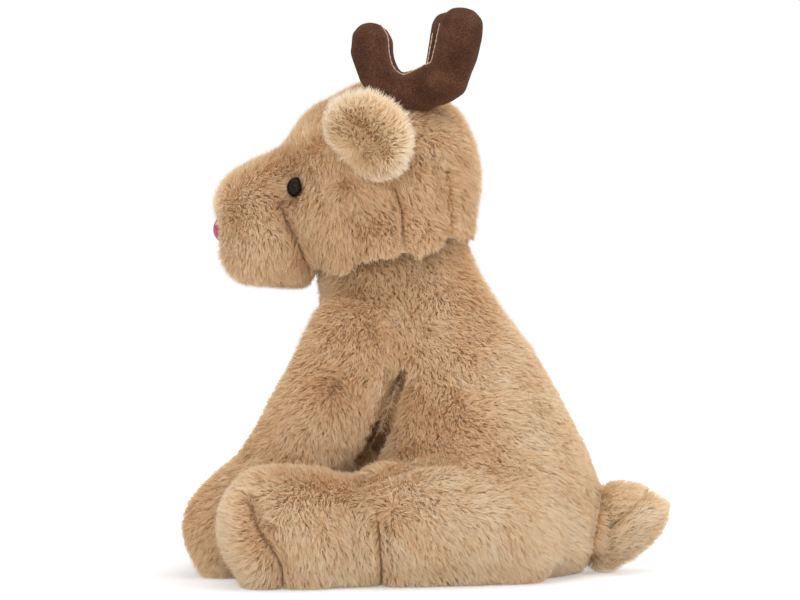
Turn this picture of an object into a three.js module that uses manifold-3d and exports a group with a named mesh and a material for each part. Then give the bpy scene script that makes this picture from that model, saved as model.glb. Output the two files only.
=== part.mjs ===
// A sitting plush deer, in millimetres. +Z is up, the deer faces -X and its left side is towards -Y.
// The origin is on the floor under the middle of the toy's box.
// A cover is the fur fabric from its backing to the tips of the pile, so the outer forms are full size.
// Left pieces are modelled, and the right ones are their mirror images.

import * as THREE from "three";
import { mergeVertices } from "three/addons/utils/BufferGeometryUtils.js";
import Module from "manifold-3d";

const wasm = await Module();
wasm.setup();

// Fits
const gap = 0.5; // between pieces that touch
const overrun = 40; // how far a cutting tool runs past what it cuts
const floorTrim = 0.5; // pressed flat where the toy rests on its fur
const furThickness = 9; // fabric backing with its pile
const outsideSides = 16;
const outsideRings = 12;
const insideSides = 10;
const insideRings = 7;

// Torso: a pear on a flat seat, leaning back, with a round neck
const seatCentreX = 51;
const seatFlatShare = 0.42; // of the seat's size that is pressed flat
const seatRoundingShare = 0.13; // of the torso's length, up from the floor
const seatHalfLength = 73;
const seatHalfWidth = 70;
const bellyHeight = 40;
const bellyCentreX = 49;
const bellyHalfLength = 75;
const bellyHalfWidth = 74;
const waistHeight = 92;
const waistCentreX = 33;
const waistHalfLength = 66;
const waistHalfWidth = 66;
const chestHeight = 143;
const chestCentreX = 8;
const chestHalfLength = 58.5;
const chestHalfWidth = 55;
const neckCentreX = -4;
const neckHeight = 189;
const neckRadius = 48;
const neckLean = 14; // degrees forward
const neckHoleRadius = 27;
const neckPlay = 2; // round the neck, which is hidden in the fur
const neckNod = 6; // degrees each way

// Pellet pouch in the seat
const pouchHalfLength = 50;
const pouchHalfWidth = 46;
const pouchHeight = 26;
const pouchShares = [1, 1, 0.8]; // of its size, from the floor up
const pouchEndShares = [0.3, 0.5];

// Head and snout
const headFrontX = -77;
const headBackX = 49.5;
const headRise = 53; // of the head's middle above the neck's
const headHalfHeight = 60;
const headHalfWidth = 62;
const snoutFrontX = -112.5;
const snoutRootX = -40;
const snoutDrop = 30; // of the snout's middle below the head's
const snoutHalfHeight = 40;
const snoutHalfWidth = 46;

// Nose, a padded oval of satin stitches
const noseHalfWidth = 12.5;
const noseHalfHeight = 8;
const noseHalfDepth = 7;
const noseStandout = 1.5; // past the fur of the snout
const noseDrop = 3; // below the snout's middle

// Eyes, with a stem and a push-on washer
const eyeRadius = 6;
const eyeDome = 5;
const eyeSink = 3; // of the eye's back edge in the fur
const eyeX = -65;
const eyeDrop = 8.5; // below the head's middle
const eyeInsideShare = 0.35; // of the head's half width, where the stem points to
const eyeStemRadius = 1.8;
const eyeOutsideShare = 0.66; // where it meets the fur
const washerRadius = 6.5;
const washerThickness = 2;
const washerSetback = 5; // behind the backing on the stem's axis, as the backing slants
const stemPastWasher = 2;

// Ears: a cupped lobe of fur with a golden lining. Heights are above the head's middle.
const earRoot = [-35, -55, 1.5];
const earTip = [0, -79, 39.5];
const earHalfWidth = 31;
const earHalfThickness = 8;
const earCup = 8;
const earRim = 5; // between the lining's edge and the ear's
const liningHalfThickness = 5;
const liningStandout = 5; // of the lining's middle in front of the ear's
const earFlap = 20; // degrees outward

// Antlers: two flat panels sewn round the edge and stuffed. Heights are above the head's middle.
const antlerHalfThickness = 11;
const antlerRoot = [1, -27, 16];
const antlerSeam = [1, -28, 44]; // where it is sewn to the head, and bends
const antlerFrontTip = [-16.5, -33, 90];
const antlerFrontBend = [-16, -33, 66];
const antlerFork = [1, -31, 47.5];
const antlerRearBend = [27.5, -32, 53.5];
const antlerRearTine = [36, -33, 76];
const antlerRearTip = [39.5, -34, 98];
const antlerStemHalfDepth = 11;
const antlerFrontHalfDepth = 11.7;
const antlerRearHalfDepth = 13.5;
const antlerLeftAngle = 8; // degrees that the front tine turns in
const antlerRightAngle = 30;
const antlerRightSetback = 2.5; // sewn on a little further back and higher than the left one
const antlerRightRise = 4;
const antlerRightForkRise = 3.5; // its fork is stuffed fuller
const antlerLean = 8; // degrees each way

// Forelegs, from shoulder to paw
const shoulder = [-19, -28, 171];
const upperForeleg = [-27, -39, 134];
const elbow = [-51, -36, 91];
const wrist = [-75, -28, 57];
const pawBack = [-99.5, -26, 33];
const pawTip = [-122, -25, 6];
const shoulderHalfDepth = 31;
const forelegHalfDepth = 33;
const wristHalfDepth = 28;
const forelegHalfWidth = 25;
const pawHalfDepth = 34;
const pawHalfWidth = 24.5;
const forelegLift = 25; // degrees forward

// Hind legs, from hip to ankle, with a sewn-on foot and its sole
const hip = [98, -38, 36];
const knee = [30, -60, 37];
const ankle = [-44, -74, 32];
const thighHalfDepth = 37;
const thighHalfWidth = 33;
const shinHalfDepth = 33;
const shinHalfWidth = 29;
const heel = [-22, -72, 34];
const toe = [-106, -83, 36.5];
const footHalfHeight = 36.5;
const footHalfWidth = 29.5;
const soleSetback = 25; // of the sole's seam behind the toe
const soleTilt = 20; // degrees from upright
const hindlegSplay = 15; // degrees outward

// Tail
const tailRoot = [104, 0, 24];
const tailTip = [164, 0, 41];
const tailRootHalfHeight = 26;
const tailTipHalfHeight = 23;
const tailHalfWidth = 20;
const tailPile = 8;
const tailWag = 12; // degrees each way

const headHeight = neckHeight + headRise;
const snoutHeight = headHeight - snoutDrop;

const up = new THREE.Vector3(0, 0, 1);
const left = new THREE.Vector3(0, -1, 0);
const vector = (p) => new THREE.Vector3(...p);
const onHead = (p) => new THREE.Vector3(p[0], p[1], headHeight + p[2]);
const sized = (shares, size) => shares.map((share) => share * size);

// How full an end is at a share of the spine: 0 at its tip, 1 past the rounding.
// A blunt of 2 rounds it off as an ellipse, and more makes it squarer.
function endShare(t, rounding, blunt) {
  return t >= rounding ? 1 : Math.max(0, 1 - (1 - t / rounding) ** blunt) ** (1 / blunt);
}

// Cosine or sine of a superellipse: 2 is an ellipse, and more is squarer.
function squared(value, fullness) {
  return Math.sign(value) * Math.abs(value) ** (2 / fullness);
}

// Surface of a stuffed form: rings along a spine, rounded off at both ends.
// spine, wide and deep list the same stations, and ends the shares of the spine that round off.
// flat is the share of a ring that is flat at the start, blunt squares off the far end, and cup bends
// a ring's sides backwards.
function stuffedGeometry(form, grow, sides, rings) {
  const { spine, wide, deep, ends, blunt = 2, fullness = 2, flat = 0, cup = 0, across = left } = form;
  const line = new THREE.CatmullRomCurve3(spine.map(vector));
  const radii = new THREE.CatmullRomCurve3(wide.map((w, i) => new THREE.Vector3(w, deep[i], 0)));
  const stops = Array.from({ length: rings + 1 }, (_, i) => (1 - Math.cos((Math.PI * i) / rings)) / 2);
  if (flat > 0) stops.splice(1, 0, 0);
  const points = [];
  stops.forEach((t, i) => {
    const along = line.getTangent(t);
    const centre = line.getPoint(t).addScaledVector(along, grow * (2 * t - 1));
    const side = across.clone().projectOnPlane(along).normalize();
    const rise = new THREE.Vector3().crossVectors(along, side);
    const start = flat + (1 - flat) * endShare(t, ends[0], 2);
    const round = start * endShare(1 - t, ends[1], blunt);
    const size = radii.getPoint(t);
    const tip = i === 0 || i === stops.length - 1;
    for (let j = 0; j < (tip ? 1 : sides); j++) {
      const angle = (2 * Math.PI * j) / sides;
      const x = tip ? 0 : squared(Math.cos(angle), fullness) * round;
      const y = tip ? 0 : squared(Math.sin(angle), fullness) * round;
      const point = centre.clone().addScaledVector(side, x * (size.x + grow));
      points.push(point.addScaledVector(rise, y * (size.y + grow) + cup * x * x));
    }
  });
  const faces = [];
  const last = points.length - 1;
  for (let j = 0; j < sides; j++) {
    const next = (j + 1) % sides;
    faces.push(0, 1 + next, 1 + j);
    for (let i = 1; i < stops.length - 2; i++) {
      const a = 1 + (i - 1) * sides;
      const b = a + sides;
      faces.push(a + j, a + next, b + next, a + j, b + next, b + j);
    }
    faces.push(last, last - sides + j, last - sides + next);
  }
  return new THREE.BufferGeometry().setFromPoints(points).setIndex(faces);
}

function signedVolume(positions, indices) {
  const corners = [new THREE.Vector3(), new THREE.Vector3(), new THREE.Vector3()];
  let volume = 0;
  for (let i = 0; i < indices.length; i += 3) {
    const [a, b, c] = corners.map((corner, k) => corner.fromArray(positions, 3 * indices[i + k]));
    volume += a.dot(b.cross(c)) / 6;
  }
  return volume;
}

// A closed geometry as a solid, its faces turned outward.
function solid(geometry) {
  const bare = geometry.clone();
  bare.deleteAttribute("normal");
  bare.deleteAttribute("uv");
  const merged = mergeVertices(bare);
  const vertProperties = merged.attributes.position.array;
  const triVerts = new Uint32Array(merged.index.array);
  if (signedVolume(vertProperties, triVerts) < 0) triVerts.reverse();
  return new wasm.Manifold(new wasm.Mesh({ numProp: 3, vertProperties, triVerts }));
}

function wholeGeometry(form, grow = 0) {
  return stuffedGeometry(form, grow, outsideSides, outsideRings);
}

function insideGeometry(form, grow = -furThickness) {
  return stuffedGeometry(form, grow, insideSides, insideRings);
}

const stuffed = (form, grow) => solid(wholeGeometry(form, grow));
const stuffedInside = (form, grow) => solid(insideGeometry(form, grow));

// Where a ray from inside a surface meets it.
function surfacePoint(geometry, from, direction) {
  const shape = new THREE.Mesh(geometry, new THREE.MeshBasicMaterial({ side: THREE.DoubleSide }));
  return new THREE.Raycaster(from, direction).intersectObject(shape)[0].point;
}

const ball = (centre, radius) => solid(new THREE.SphereGeometry(radius, 20, 14)).translate(centre);

// A geometry that is made along +Z, set at a point along a direction.
function aimed(geometry, point, direction) {
  geometry.applyQuaternion(new THREE.Quaternion().setFromUnitVectors(up, direction));
  return solid(geometry).translate(point.toArray());
}

function rod(point, direction, radius, length) {
  const geometry = new THREE.CylinderGeometry(radius, radius, length, 16).rotateX(Math.PI / 2);
  return aimed(geometry.translate(0, 0, length / 2), point, direction);
}

// Everything past a plane through a point, on the side that the direction points to.
const reach = 4 * (headHeight + headHalfHeight);
function beyond(point, direction) {
  const geometry = new THREE.BoxGeometry(reach, reach, reach).translate(0, 0, reach / 2);
  return aimed(geometry, point, direction);
}

const underFloor = beyond(new THREE.Vector3(), up.clone().negate());
const standing = (shape) => shape.subtract(underFloor);
const mirrored = (shape) => shape.mirror([0, 1, 0]);

// A solid turned by degrees about an axis through a point.
function turned(shape, point, axis, degrees) {
  const matrix = new THREE.Matrix4()
    .makeTranslation(point)
    .multiply(new THREE.Matrix4().makeRotationAxis(axis, THREE.MathUtils.degToRad(degrees)))
    .multiply(new THREE.Matrix4().makeTranslation(point.clone().negate()));
  return shape.transform(matrix.elements);
}

// What a fixed solid passes through, as seen from a piece that turns by these degrees.
function passedBy(shape, point, axis, degrees) {
  return degrees.reduce((sum, angle) => sum.add(turned(shape, point, axis, -angle)), shape);
}

// The largest of the pieces that a cut leaves.
function largest(shape) {
  return shape.decompose().sort((a, b) => b.volume() - a.volume())[0];
}

// Torso
const neck = vector([neckCentreX, 0, neckHeight]);
const neckAxis = up.clone().applyAxisAngle(left, THREE.MathUtils.degToRad(neckLean));
const neckTop = neck.clone().addScaledVector(neckAxis, neckRadius);
const torsoSpine = [
  [seatCentreX, 0, -floorTrim],
  [bellyCentreX, 0, bellyHeight],
  [waistCentreX, 0, waistHeight],
  [chestCentreX, 0, chestHeight],
  neck.toArray(),
  neckTop.toArray(),
];
const torsoLength = new THREE.CatmullRomCurve3(torsoSpine.map(vector)).getLength();
const torsoForm = {
  spine: torsoSpine,
  wide: [seatHalfWidth, bellyHalfWidth, waistHalfWidth, chestHalfWidth, neckRadius, neckRadius],
  deep: [seatHalfLength, bellyHalfLength, waistHalfLength, chestHalfLength, neckRadius, neckRadius],
  ends: [seatRoundingShare, neckRadius / torsoLength],
  flat: seatFlatShare,
};
const neckHole = rod(neck, neckAxis, neckHoleRadius, neckRadius + overrun);
const torso = standing(stuffed(torsoForm));
const torsoRoom = stuffedInside(torsoForm);
const torsoPast = standing(stuffed(torsoForm, gap));

const pouchForm = {
  spine: [
    [bellyCentreX, 0, furThickness - floorTrim],
    [bellyCentreX, 0, furThickness - floorTrim + pouchHeight / 2],
    [bellyCentreX, 0, furThickness - floorTrim + pouchHeight],
  ],
  wide: sized(pouchShares, pouchHalfWidth),
  deep: sized(pouchShares, pouchHalfLength),
  ends: pouchEndShares,
  flat: seatFlatShare,
};
const underPouch = beyond(new THREE.Vector3(0, 0, furThickness + gap), up.clone().negate());
const bodyStuffing = stuffedInside(torsoForm, -furThickness - gap).subtract(underPouch);
const bodyCover = torso.subtract(torsoRoom).subtract(neckHole);
const bodyFilling = bodyStuffing.subtract(stuffedInside(pouchForm, gap));
const beanPouch = stuffedInside(pouchForm, 0).intersect(bodyStuffing);

// Head and snout
const headStationShares = [0, 0.25, 0.5, 0.75, 1]; // from the front to the back
const headRiseShares = [-0.4, -0.29, -0.12, -0.15, -0.21];
const headWidthShares = [0.8, 0.97, 1, 0.97, 0.88];
const headDepthShares = [0.85, 1.02, 1.1, 1.06, 1.01];
const headEndShares = [0.32, 0.36];
const headForm = {
  spine: headStationShares.map((share, i) => [
    headFrontX + (headBackX - headFrontX) * share,
    0,
    headHeight + headHalfHeight * headRiseShares[i],
  ]),
  wide: sized(headWidthShares, headHalfWidth),
  deep: sized(headDepthShares, headHalfHeight),
  ends: headEndShares,
  fullness: 2.5,
};
const snoutStationShares = [0, 0.33, 0.67, 1]; // from the cheeks to the front
const snoutRiseShares = [0.4, 0.14, 0.035, -0.01];
const snoutWidthShares = [0.95, 1, 1, 0.9];
const snoutDepthShares = [0.95, 1.1, 1, 0.95];
const snoutEndShares = [0.2, 0.48];
const snoutForm = {
  spine: snoutStationShares.map((share, i) => [
    snoutRootX + (snoutFrontX - snoutRootX) * share,
    0,
    snoutHeight + snoutHalfHeight * snoutRiseShares[i],
  ]),
  wide: sized(snoutWidthShares, snoutHalfWidth),
  deep: sized(snoutDepthShares, snoutHalfHeight),
  ends: snoutEndShares,
  blunt: 3,
  fullness: 2.4,
};
const headOpening = ball(neck.toArray(), neckRadius + neckPlay).add(
  passedBy(torsoPast, neck, left, [-neckNod, neckNod]),
);
const head = stuffed(headForm);
const headPast = stuffed(headForm, gap);
const headRoom = stuffedInside(headForm);
const snoutRoom = stuffedInside(snoutForm);

// Nose
const noseRow = vector([snoutRootX, 0, snoutHeight - noseDrop]);
const forward = new THREE.Vector3(-1, 0, 0);
const noseCentre = surfacePoint(wholeGeometry(snoutForm), noseRow, forward).addScaledVector(
  forward,
  noseStandout - noseHalfDepth,
);
function nosePad(grow) {
  const geometry = new THREE.SphereGeometry(1, 20, 12);
  geometry.scale(noseHalfDepth + grow, noseHalfWidth + grow, noseHalfHeight + grow);
  return solid(geometry).translate(noseCentre.toArray());
}

// Eye: its stem points at the inside of the head, where the washer holds it against the backing
const eyeHeight = headHeight - eyeDrop;
const eyeInside = vector([eyeX / 2, -headHalfWidth * eyeInsideShare, eyeHeight - eyeRadius]);
const eyeAim = vector([eyeX, -headHalfWidth * eyeOutsideShare, eyeHeight]).sub(eyeInside).normalize();
const furTips = surfacePoint(wholeGeometry(headForm), eyeInside, eyeAim);
const backing = surfacePoint(insideGeometry(headForm), eyeInside, eyeAim);
const eyeBack = furTips.clone().addScaledVector(eyeAim, -eyeSink);
const washerFace = backing.clone().addScaledVector(eyeAim, -washerSetback);
const stemEnd = washerFace.clone().addScaledVector(eyeAim, -washerThickness - stemPastWasher);
function eyePiece(grow) {
  const dome = new THREE.SphereGeometry(1, 20, 12);
  dome.scale(eyeRadius + grow, eyeRadius + grow, eyeDome + grow);
  const flatBack = eyeBack.clone().addScaledVector(eyeAim, -grow);
  const head = aimed(dome, eyeBack, eyeAim).subtract(beyond(flatBack, eyeAim.clone().negate()));
  const length = eyeBack.distanceTo(stemEnd) + eyeDome / 2 + grow;
  const start = stemEnd.clone().addScaledVector(eyeAim, -grow);
  return head.add(rod(start, eyeAim, eyeStemRadius + grow, length));
}
function washerPiece(grow) {
  const start = washerFace.clone().addScaledVector(eyeAim, -washerThickness - grow);
  return rod(start, eyeAim, washerRadius + grow, washerThickness + 2 * grow);
}

const eyeLeft = eyePiece(0);
const washerLeft = washerPiece(0).subtract(eyePiece(gap / 2));
const eyeSocket = rod(
  eyeBack.clone().addScaledVector(eyeAim, -gap),
  eyeAim,
  eyeRadius + gap,
  overrun,
).add(rod(stemEnd.clone().addScaledVector(eyeAim, -gap), eyeAim, eyeStemRadius + gap, overrun));
const eyeHoles = eyeSocket.add(mirrored(eyeSocket));
const washerHoles = washerPiece(gap).add(mirrored(washerPiece(gap)));
const headCover = largest(
  head.subtract(headRoom).subtract(snoutRoom).subtract(headOpening).subtract(eyeHoles),
);
const snoutCover = largest(
  stuffed(snoutForm)
    .subtract(snoutRoom)
    .subtract(headPast)
    .subtract(headOpening)
    .subtract(nosePad(gap))
    .subtract(eyeHoles),
);
const headFilling = largest(
  stuffedInside(headForm, -furThickness - gap)
    .add(stuffedInside(snoutForm, -furThickness - gap))
    .subtract(headOpening)
    .subtract(eyeHoles)
    .subtract(washerHoles)
    .subtract(nosePad(gap)),
);

// Ears
const earWidthShares = [0.74, 1, 0.96]; // from the root to the tip
const earThicknessShares = [1, 1, 0.8];
const earEndShares = [0.45, 0.55];
const earHinge = onHead(earRoot);
const earAlong = onHead(earTip).sub(earHinge).normalize();
const earAcross = new THREE.Vector3(1, 0, -1).projectOnPlane(earAlong).normalize();
const earBackward = new THREE.Vector3().crossVectors(earAlong, earAcross);
function earForm(inset, halfThickness, forward) {
  const shift = earBackward.clone().multiplyScalar(-forward);
  const start = earHinge.clone().addScaledVector(earAlong, inset).add(shift);
  const end = onHead(earTip).addScaledVector(earAlong, -inset).add(shift);
  return {
    spine: [start, start.clone().lerp(end, 0.5), end].map((p) => p.toArray()),
    wide: sized(earWidthShares, earHalfWidth - inset),
    deep: sized(earThicknessShares, halfThickness),
    ends: earEndShares,
    cup: -earCup,
    across: earAcross,
  };
}
const earWhole = stuffed(earForm(0, earHalfThickness, 0));
const earLeft = largest(
  earWhole.subtract(passedBy(headPast, earHinge, earAcross, [earFlap / 2, earFlap])),
);
const earLining = largest(
  stuffedInside(earForm(earRim, liningHalfThickness, liningStandout), 0)
    .subtract(stuffed(earForm(0, earHalfThickness, 0), gap))
    .subtract(headPast),
);

// Antlers
const between = (a, b) => a.map((value, i) => (value + b[i]) / 2);
const antlerFoot = onHead(antlerRoot);
const forkEndShares = [0.1, 0.1];
function forkForm(rise) {
  const fork = [antlerFork[0], antlerFork[1], antlerFork[2] + rise];
  const stations = [antlerFrontTip, antlerFrontBend, fork, antlerRearBend, antlerRearTine, antlerRearTip];
  return {
    spine: stations.map((p) => onHead(p).toArray()),
    wide: stations.map(() => antlerHalfThickness),
    deep: [
      antlerFrontHalfDepth,
      antlerFrontHalfDepth,
      antlerStemHalfDepth,
      (antlerStemHalfDepth + antlerRearHalfDepth) / 2,
      antlerRearHalfDepth,
      antlerRearHalfDepth,
    ],
    ends: forkEndShares,
    fullness: 2.2,
  };
}
const stemWidthShares = [0.9, 0.95, 0.9]; // from the head up
const stemDepthShares = [1, 1, 1.1];
const stemEndShares = [0.2, 0.3];
const stemForm = {
  spine: [antlerRoot, between(antlerRoot, antlerFork), antlerFork].map((p) => onHead(p).toArray()),
  wide: sized(stemWidthShares, antlerHalfThickness),
  deep: sized(stemDepthShares, antlerStemHalfDepth),
  ends: stemEndShares,
  fullness: 2.2,
};
const antlerBend = onHead(antlerSeam);
const headUnderAntler = passedBy(headPast, antlerBend, forward, [-antlerLean, antlerLean]);
function antler(angle, setback, rise, forkRise) {
  const fork = stuffed(forkForm(forkRise)).add(stuffedInside(stemForm, 0));
  const placed = turned(fork, antlerFoot, up, angle).translate([setback, 0, rise]);
  return largest(placed.subtract(headUnderAntler));
}

// Hind legs and feet
const hindlegEndShares = [0.3, 0.15];
const hindlegForm = {
  spine: [hip, between(hip, knee), knee, ankle],
  wide: [thighHalfWidth, thighHalfWidth, thighHalfWidth, shinHalfWidth],
  deep: [thighHalfDepth, thighHalfDepth, thighHalfDepth, shinHalfDepth],
  ends: hindlegEndShares,
  fullness: 2.2,
};
const footShares = [0.95, 1, 1]; // of its size, from the heel to the toe
const footEndShares = [0.3, 0.36];
const footForm = {
  spine: [heel, between(heel, toe), toe],
  wide: sized(footShares, footHalfWidth),
  deep: sized(footShares, footHalfHeight),
  ends: footEndShares,
  fullness: 2.3,
};
const footAlong = vector(toe).sub(vector(heel)).normalize();
const soleFacing = footAlong.clone().applyAxisAngle(left, THREE.MathUtils.degToRad(soleTilt));
const soleSeam = vector(toe).addScaledVector(footAlong, -soleSetback);
const footPast = stuffed(footForm, gap);
const footRoom = stuffedInside(footForm);
const hindlegPast = stuffed(hindlegForm, gap);
const hindlegRoom = stuffedInside(hindlegForm);
const rumpPassing = passedBy(torsoPast, vector(hip), up, [hindlegSplay]);
const hindlegCover = largest(
  standing(stuffed(hindlegForm)).subtract(hindlegRoom).subtract(footRoom).subtract(rumpPassing),
);
const footShell = standing(stuffed(footForm)).subtract(footRoom).subtract(hindlegPast);
const footCover = largest(
  footShell.subtract(beyond(soleSeam.clone().addScaledVector(soleFacing, -gap), soleFacing)),
);
const sole = largest(footShell.intersect(beyond(soleSeam, soleFacing)));
const hindlegFilling = largest(
  stuffedInside(hindlegForm, -furThickness - gap)
    .add(stuffedInside(footForm, -furThickness - gap))
    .subtract(rumpPassing),
);

// Forelegs
const forelegEndShares = [0.12, 0.22];
const forelegForm = {
  spine: [shoulder, upperForeleg, elbow, wrist, pawBack, pawTip],
  wide: [
    forelegHalfWidth,
    forelegHalfWidth,
    forelegHalfWidth,
    forelegHalfWidth,
    pawHalfWidth,
    pawHalfWidth,
  ],
  deep: [
    shoulderHalfDepth,
    forelegHalfDepth,
    forelegHalfDepth,
    wristHalfDepth,
    (wristHalfDepth + pawHalfDepth) / 2,
    pawHalfDepth,
  ],
  ends: forelegEndShares,
  fullness: 2.2,
};
const shoulderPoint = vector(shoulder);
const right = left.clone().negate();
const torsoPassing = passedBy(torsoPast, shoulderPoint, right, [forelegLift / 2, forelegLift]);
const chinPassing = passedBy(headPast, shoulderPoint, right, [forelegLift / 2, forelegLift]);
const foreleg = standing(stuffed(forelegForm))
  .subtract(torsoPassing)
  .subtract(chinPassing)
  .subtract(footPast);
const forelegCover = largest(foreleg.subtract(stuffedInside(forelegForm)));
const forelegFilling = largest(
  stuffedInside(forelegForm, -furThickness - gap).subtract(torsoPassing),
);

// Tail
const tailEndShares = [0.2, 0.6];
const tailForm = {
  spine: [tailRoot, between(tailRoot, tailTip), tailTip],
  wide: [tailHalfWidth, tailHalfWidth, tailHalfWidth],
  deep: [tailRootHalfHeight, tailRootHalfHeight, tailTipHalfHeight],
  ends: tailEndShares,
};
const tailPivot = vector(tailRoot);
const rumpPast = passedBy(torsoPast, tailPivot, up, [-tailWag, tailWag]);
const tailCover = largest(
  standing(stuffed(tailForm)).subtract(stuffedInside(tailForm, -tailPile)).subtract(rumpPast),
);
const tailFilling = largest(stuffedInside(tailForm, -tailPile - gap).subtract(rumpPast));

// Assembly
const tan = 0xc69f78;
const golden = 0xcaa67d;
const cream = 0xe3c7a8;
const brown = 0x5f4031;
const stuffing = 0xf2efe8;
const pink = 0xbe3c6e;
const black = 0x1c1109;
const white = 0xdddddd;
const fur = { roughness: 0.95 };
const group = new THREE.Group();
group.name = "plush_deer";

function addPiece(name, shape, color, finish = fur) {
  const mesh = shape.simplify(gap / 10).getMesh();
  const geometry = new THREE.BufferGeometry();
  geometry.setAttribute("position", new THREE.BufferAttribute(new Float32Array(mesh.vertProperties), 3));
  geometry.setIndex(new THREE.BufferAttribute(new Uint32Array(mesh.triVerts), 1));
  const flatShaded = geometry.toNonIndexed();
  flatShaded.computeVertexNormals();
  const piece = new THREE.Mesh(flatShaded, new THREE.MeshStandardMaterial({ color, ...finish }));
  piece.name = name;
  group.add(piece);
}

function addPair(name, shape, color, finish) {
  addPiece(`${name}_left`, shape, color, finish);
  addPiece(`${name}_right`, mirrored(shape), color, finish);
}

addPiece("body_cover", bodyCover, tan);
addPiece("body_filling", bodyFilling, stuffing);
addPiece("bean_pouch", beanPouch, cream);
addPiece("head_cover", headCover, tan);
addPiece("snout_cover", snoutCover, golden);
addPiece("head_filling", headFilling, stuffing);
addPiece("nose", nosePad(0), pink, { roughness: 0.6 });
addPair("eye", eyeLeft, black, { roughness: 0.1 });
addPair("eye_washer", washerLeft, white, { roughness: 0.5 });
addPair("ear", earLeft, cream);
addPair("ear_lining", earLining, golden);
const rightAntler = antler(
  -antlerRightAngle,
  antlerRightSetback,
  antlerRightRise,
  antlerRightForkRise,
);
addPiece("antler_left", antler(-antlerLeftAngle, 0, 0, 0), brown);
addPiece("antler_right", mirrored(rightAntler), brown);
addPair("foreleg_cover", forelegCover, tan);
addPair("foreleg_filling", forelegFilling, stuffing);
addPair("hindleg_cover", hindlegCover, tan);
addPair("hindleg_filling", hindlegFilling, stuffing);
addPair("foot_cover", footCover, golden);
addPair("sole", sole, tan);
addPiece("tail_cover", tailCover, tan);
addPiece("tail_filling", tailFilling, stuffing);

const box = new THREE.Box3().setFromObject(group);
const middle = box.getCenter(new THREE.Vector3());
for (const piece of group.children) piece.geometry.translate(-middle.x, -middle.y, -box.min.z);
console.log(`moved by ${[-middle.x, -middle.y, -box.min.z].map((v) => v.toFixed(3)).join(" ")} mm`);
console.log(`box ${box.getSize(new THREE.Vector3()).toArray().map((v) => v.toFixed(2)).join(" ")} mm`);

export default group;
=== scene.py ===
"""A sitting plush deer: stuffed forms with their pile, suede antlers, stitched nose and glossy eyes.

Lengths are in metres, unless a name or a docstring says millimetres. The deer faces -X, its left
side is towards -Y and +Z is up.
"""

import logging
import math
from dataclasses import dataclass, field, replace
from enum import Enum
from typing import Callable, ClassVar, Iterable, Sequence

import bpy
import numpy as np
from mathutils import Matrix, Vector
from mathutils.bvhtree import BVHTree


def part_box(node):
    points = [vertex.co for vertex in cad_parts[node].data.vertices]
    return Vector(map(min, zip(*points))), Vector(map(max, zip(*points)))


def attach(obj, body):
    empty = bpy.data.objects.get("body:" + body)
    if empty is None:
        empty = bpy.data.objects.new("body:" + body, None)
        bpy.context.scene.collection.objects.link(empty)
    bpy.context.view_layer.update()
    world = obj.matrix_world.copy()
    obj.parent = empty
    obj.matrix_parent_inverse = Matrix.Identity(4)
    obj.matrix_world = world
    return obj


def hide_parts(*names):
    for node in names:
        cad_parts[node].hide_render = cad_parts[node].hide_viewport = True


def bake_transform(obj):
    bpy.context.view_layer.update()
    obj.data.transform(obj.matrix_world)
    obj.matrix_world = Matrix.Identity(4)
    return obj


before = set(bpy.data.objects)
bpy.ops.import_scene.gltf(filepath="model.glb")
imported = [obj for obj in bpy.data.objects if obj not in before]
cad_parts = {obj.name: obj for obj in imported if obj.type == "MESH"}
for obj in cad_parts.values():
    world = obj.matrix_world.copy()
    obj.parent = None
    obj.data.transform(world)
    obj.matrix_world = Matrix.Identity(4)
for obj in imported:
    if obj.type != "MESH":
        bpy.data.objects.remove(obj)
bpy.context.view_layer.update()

log = logging.getLogger("plush_deer")

Array = np.ndarray
Point = tuple[float, float, float]
Socket = bpy.types.NodeSocket
Stops = Iterable[tuple[float, Sequence[float]]]
MM = 0.001
WHITE = (1, 1, 1)


class Side(Enum):
    """The two sides of the toy, with the sign of Y on each."""

    LEFT = -1
    RIGHT = 1


class Slot(Enum):
    """Finishes that the record names."""

    FUR = "tan_fur"
    SUEDE = "suede"
    THREAD = "satin_thread"
    EYE = "eye_plastic"
    WASHER = "washer_plastic"
    POUCH = "pouch_cloth"


def unit(vectors: Array) -> Array:
    """Vectors, in rows, made one long."""
    return vectors / np.maximum(np.linalg.norm(vectors, axis=-1, keepdims=True), 1e-12)


def dots(a: Array, b: Array) -> Array:
    """Dot products of two sets of rows, as a column."""
    return (a * b).sum(-1, keepdims=True)


def ease(values: Array, low: float, high: float) -> Array:
    """A smooth step.

    Args:
        values: numbers to ease.
        low: where the result is 0.
        high: where the result is 1.

    Returns:
        Numbers from 0 to 1.
    """
    t = np.clip((values - low) / (high - low), 0, 1)
    return t * t * (3 - 2 * t)


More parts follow.
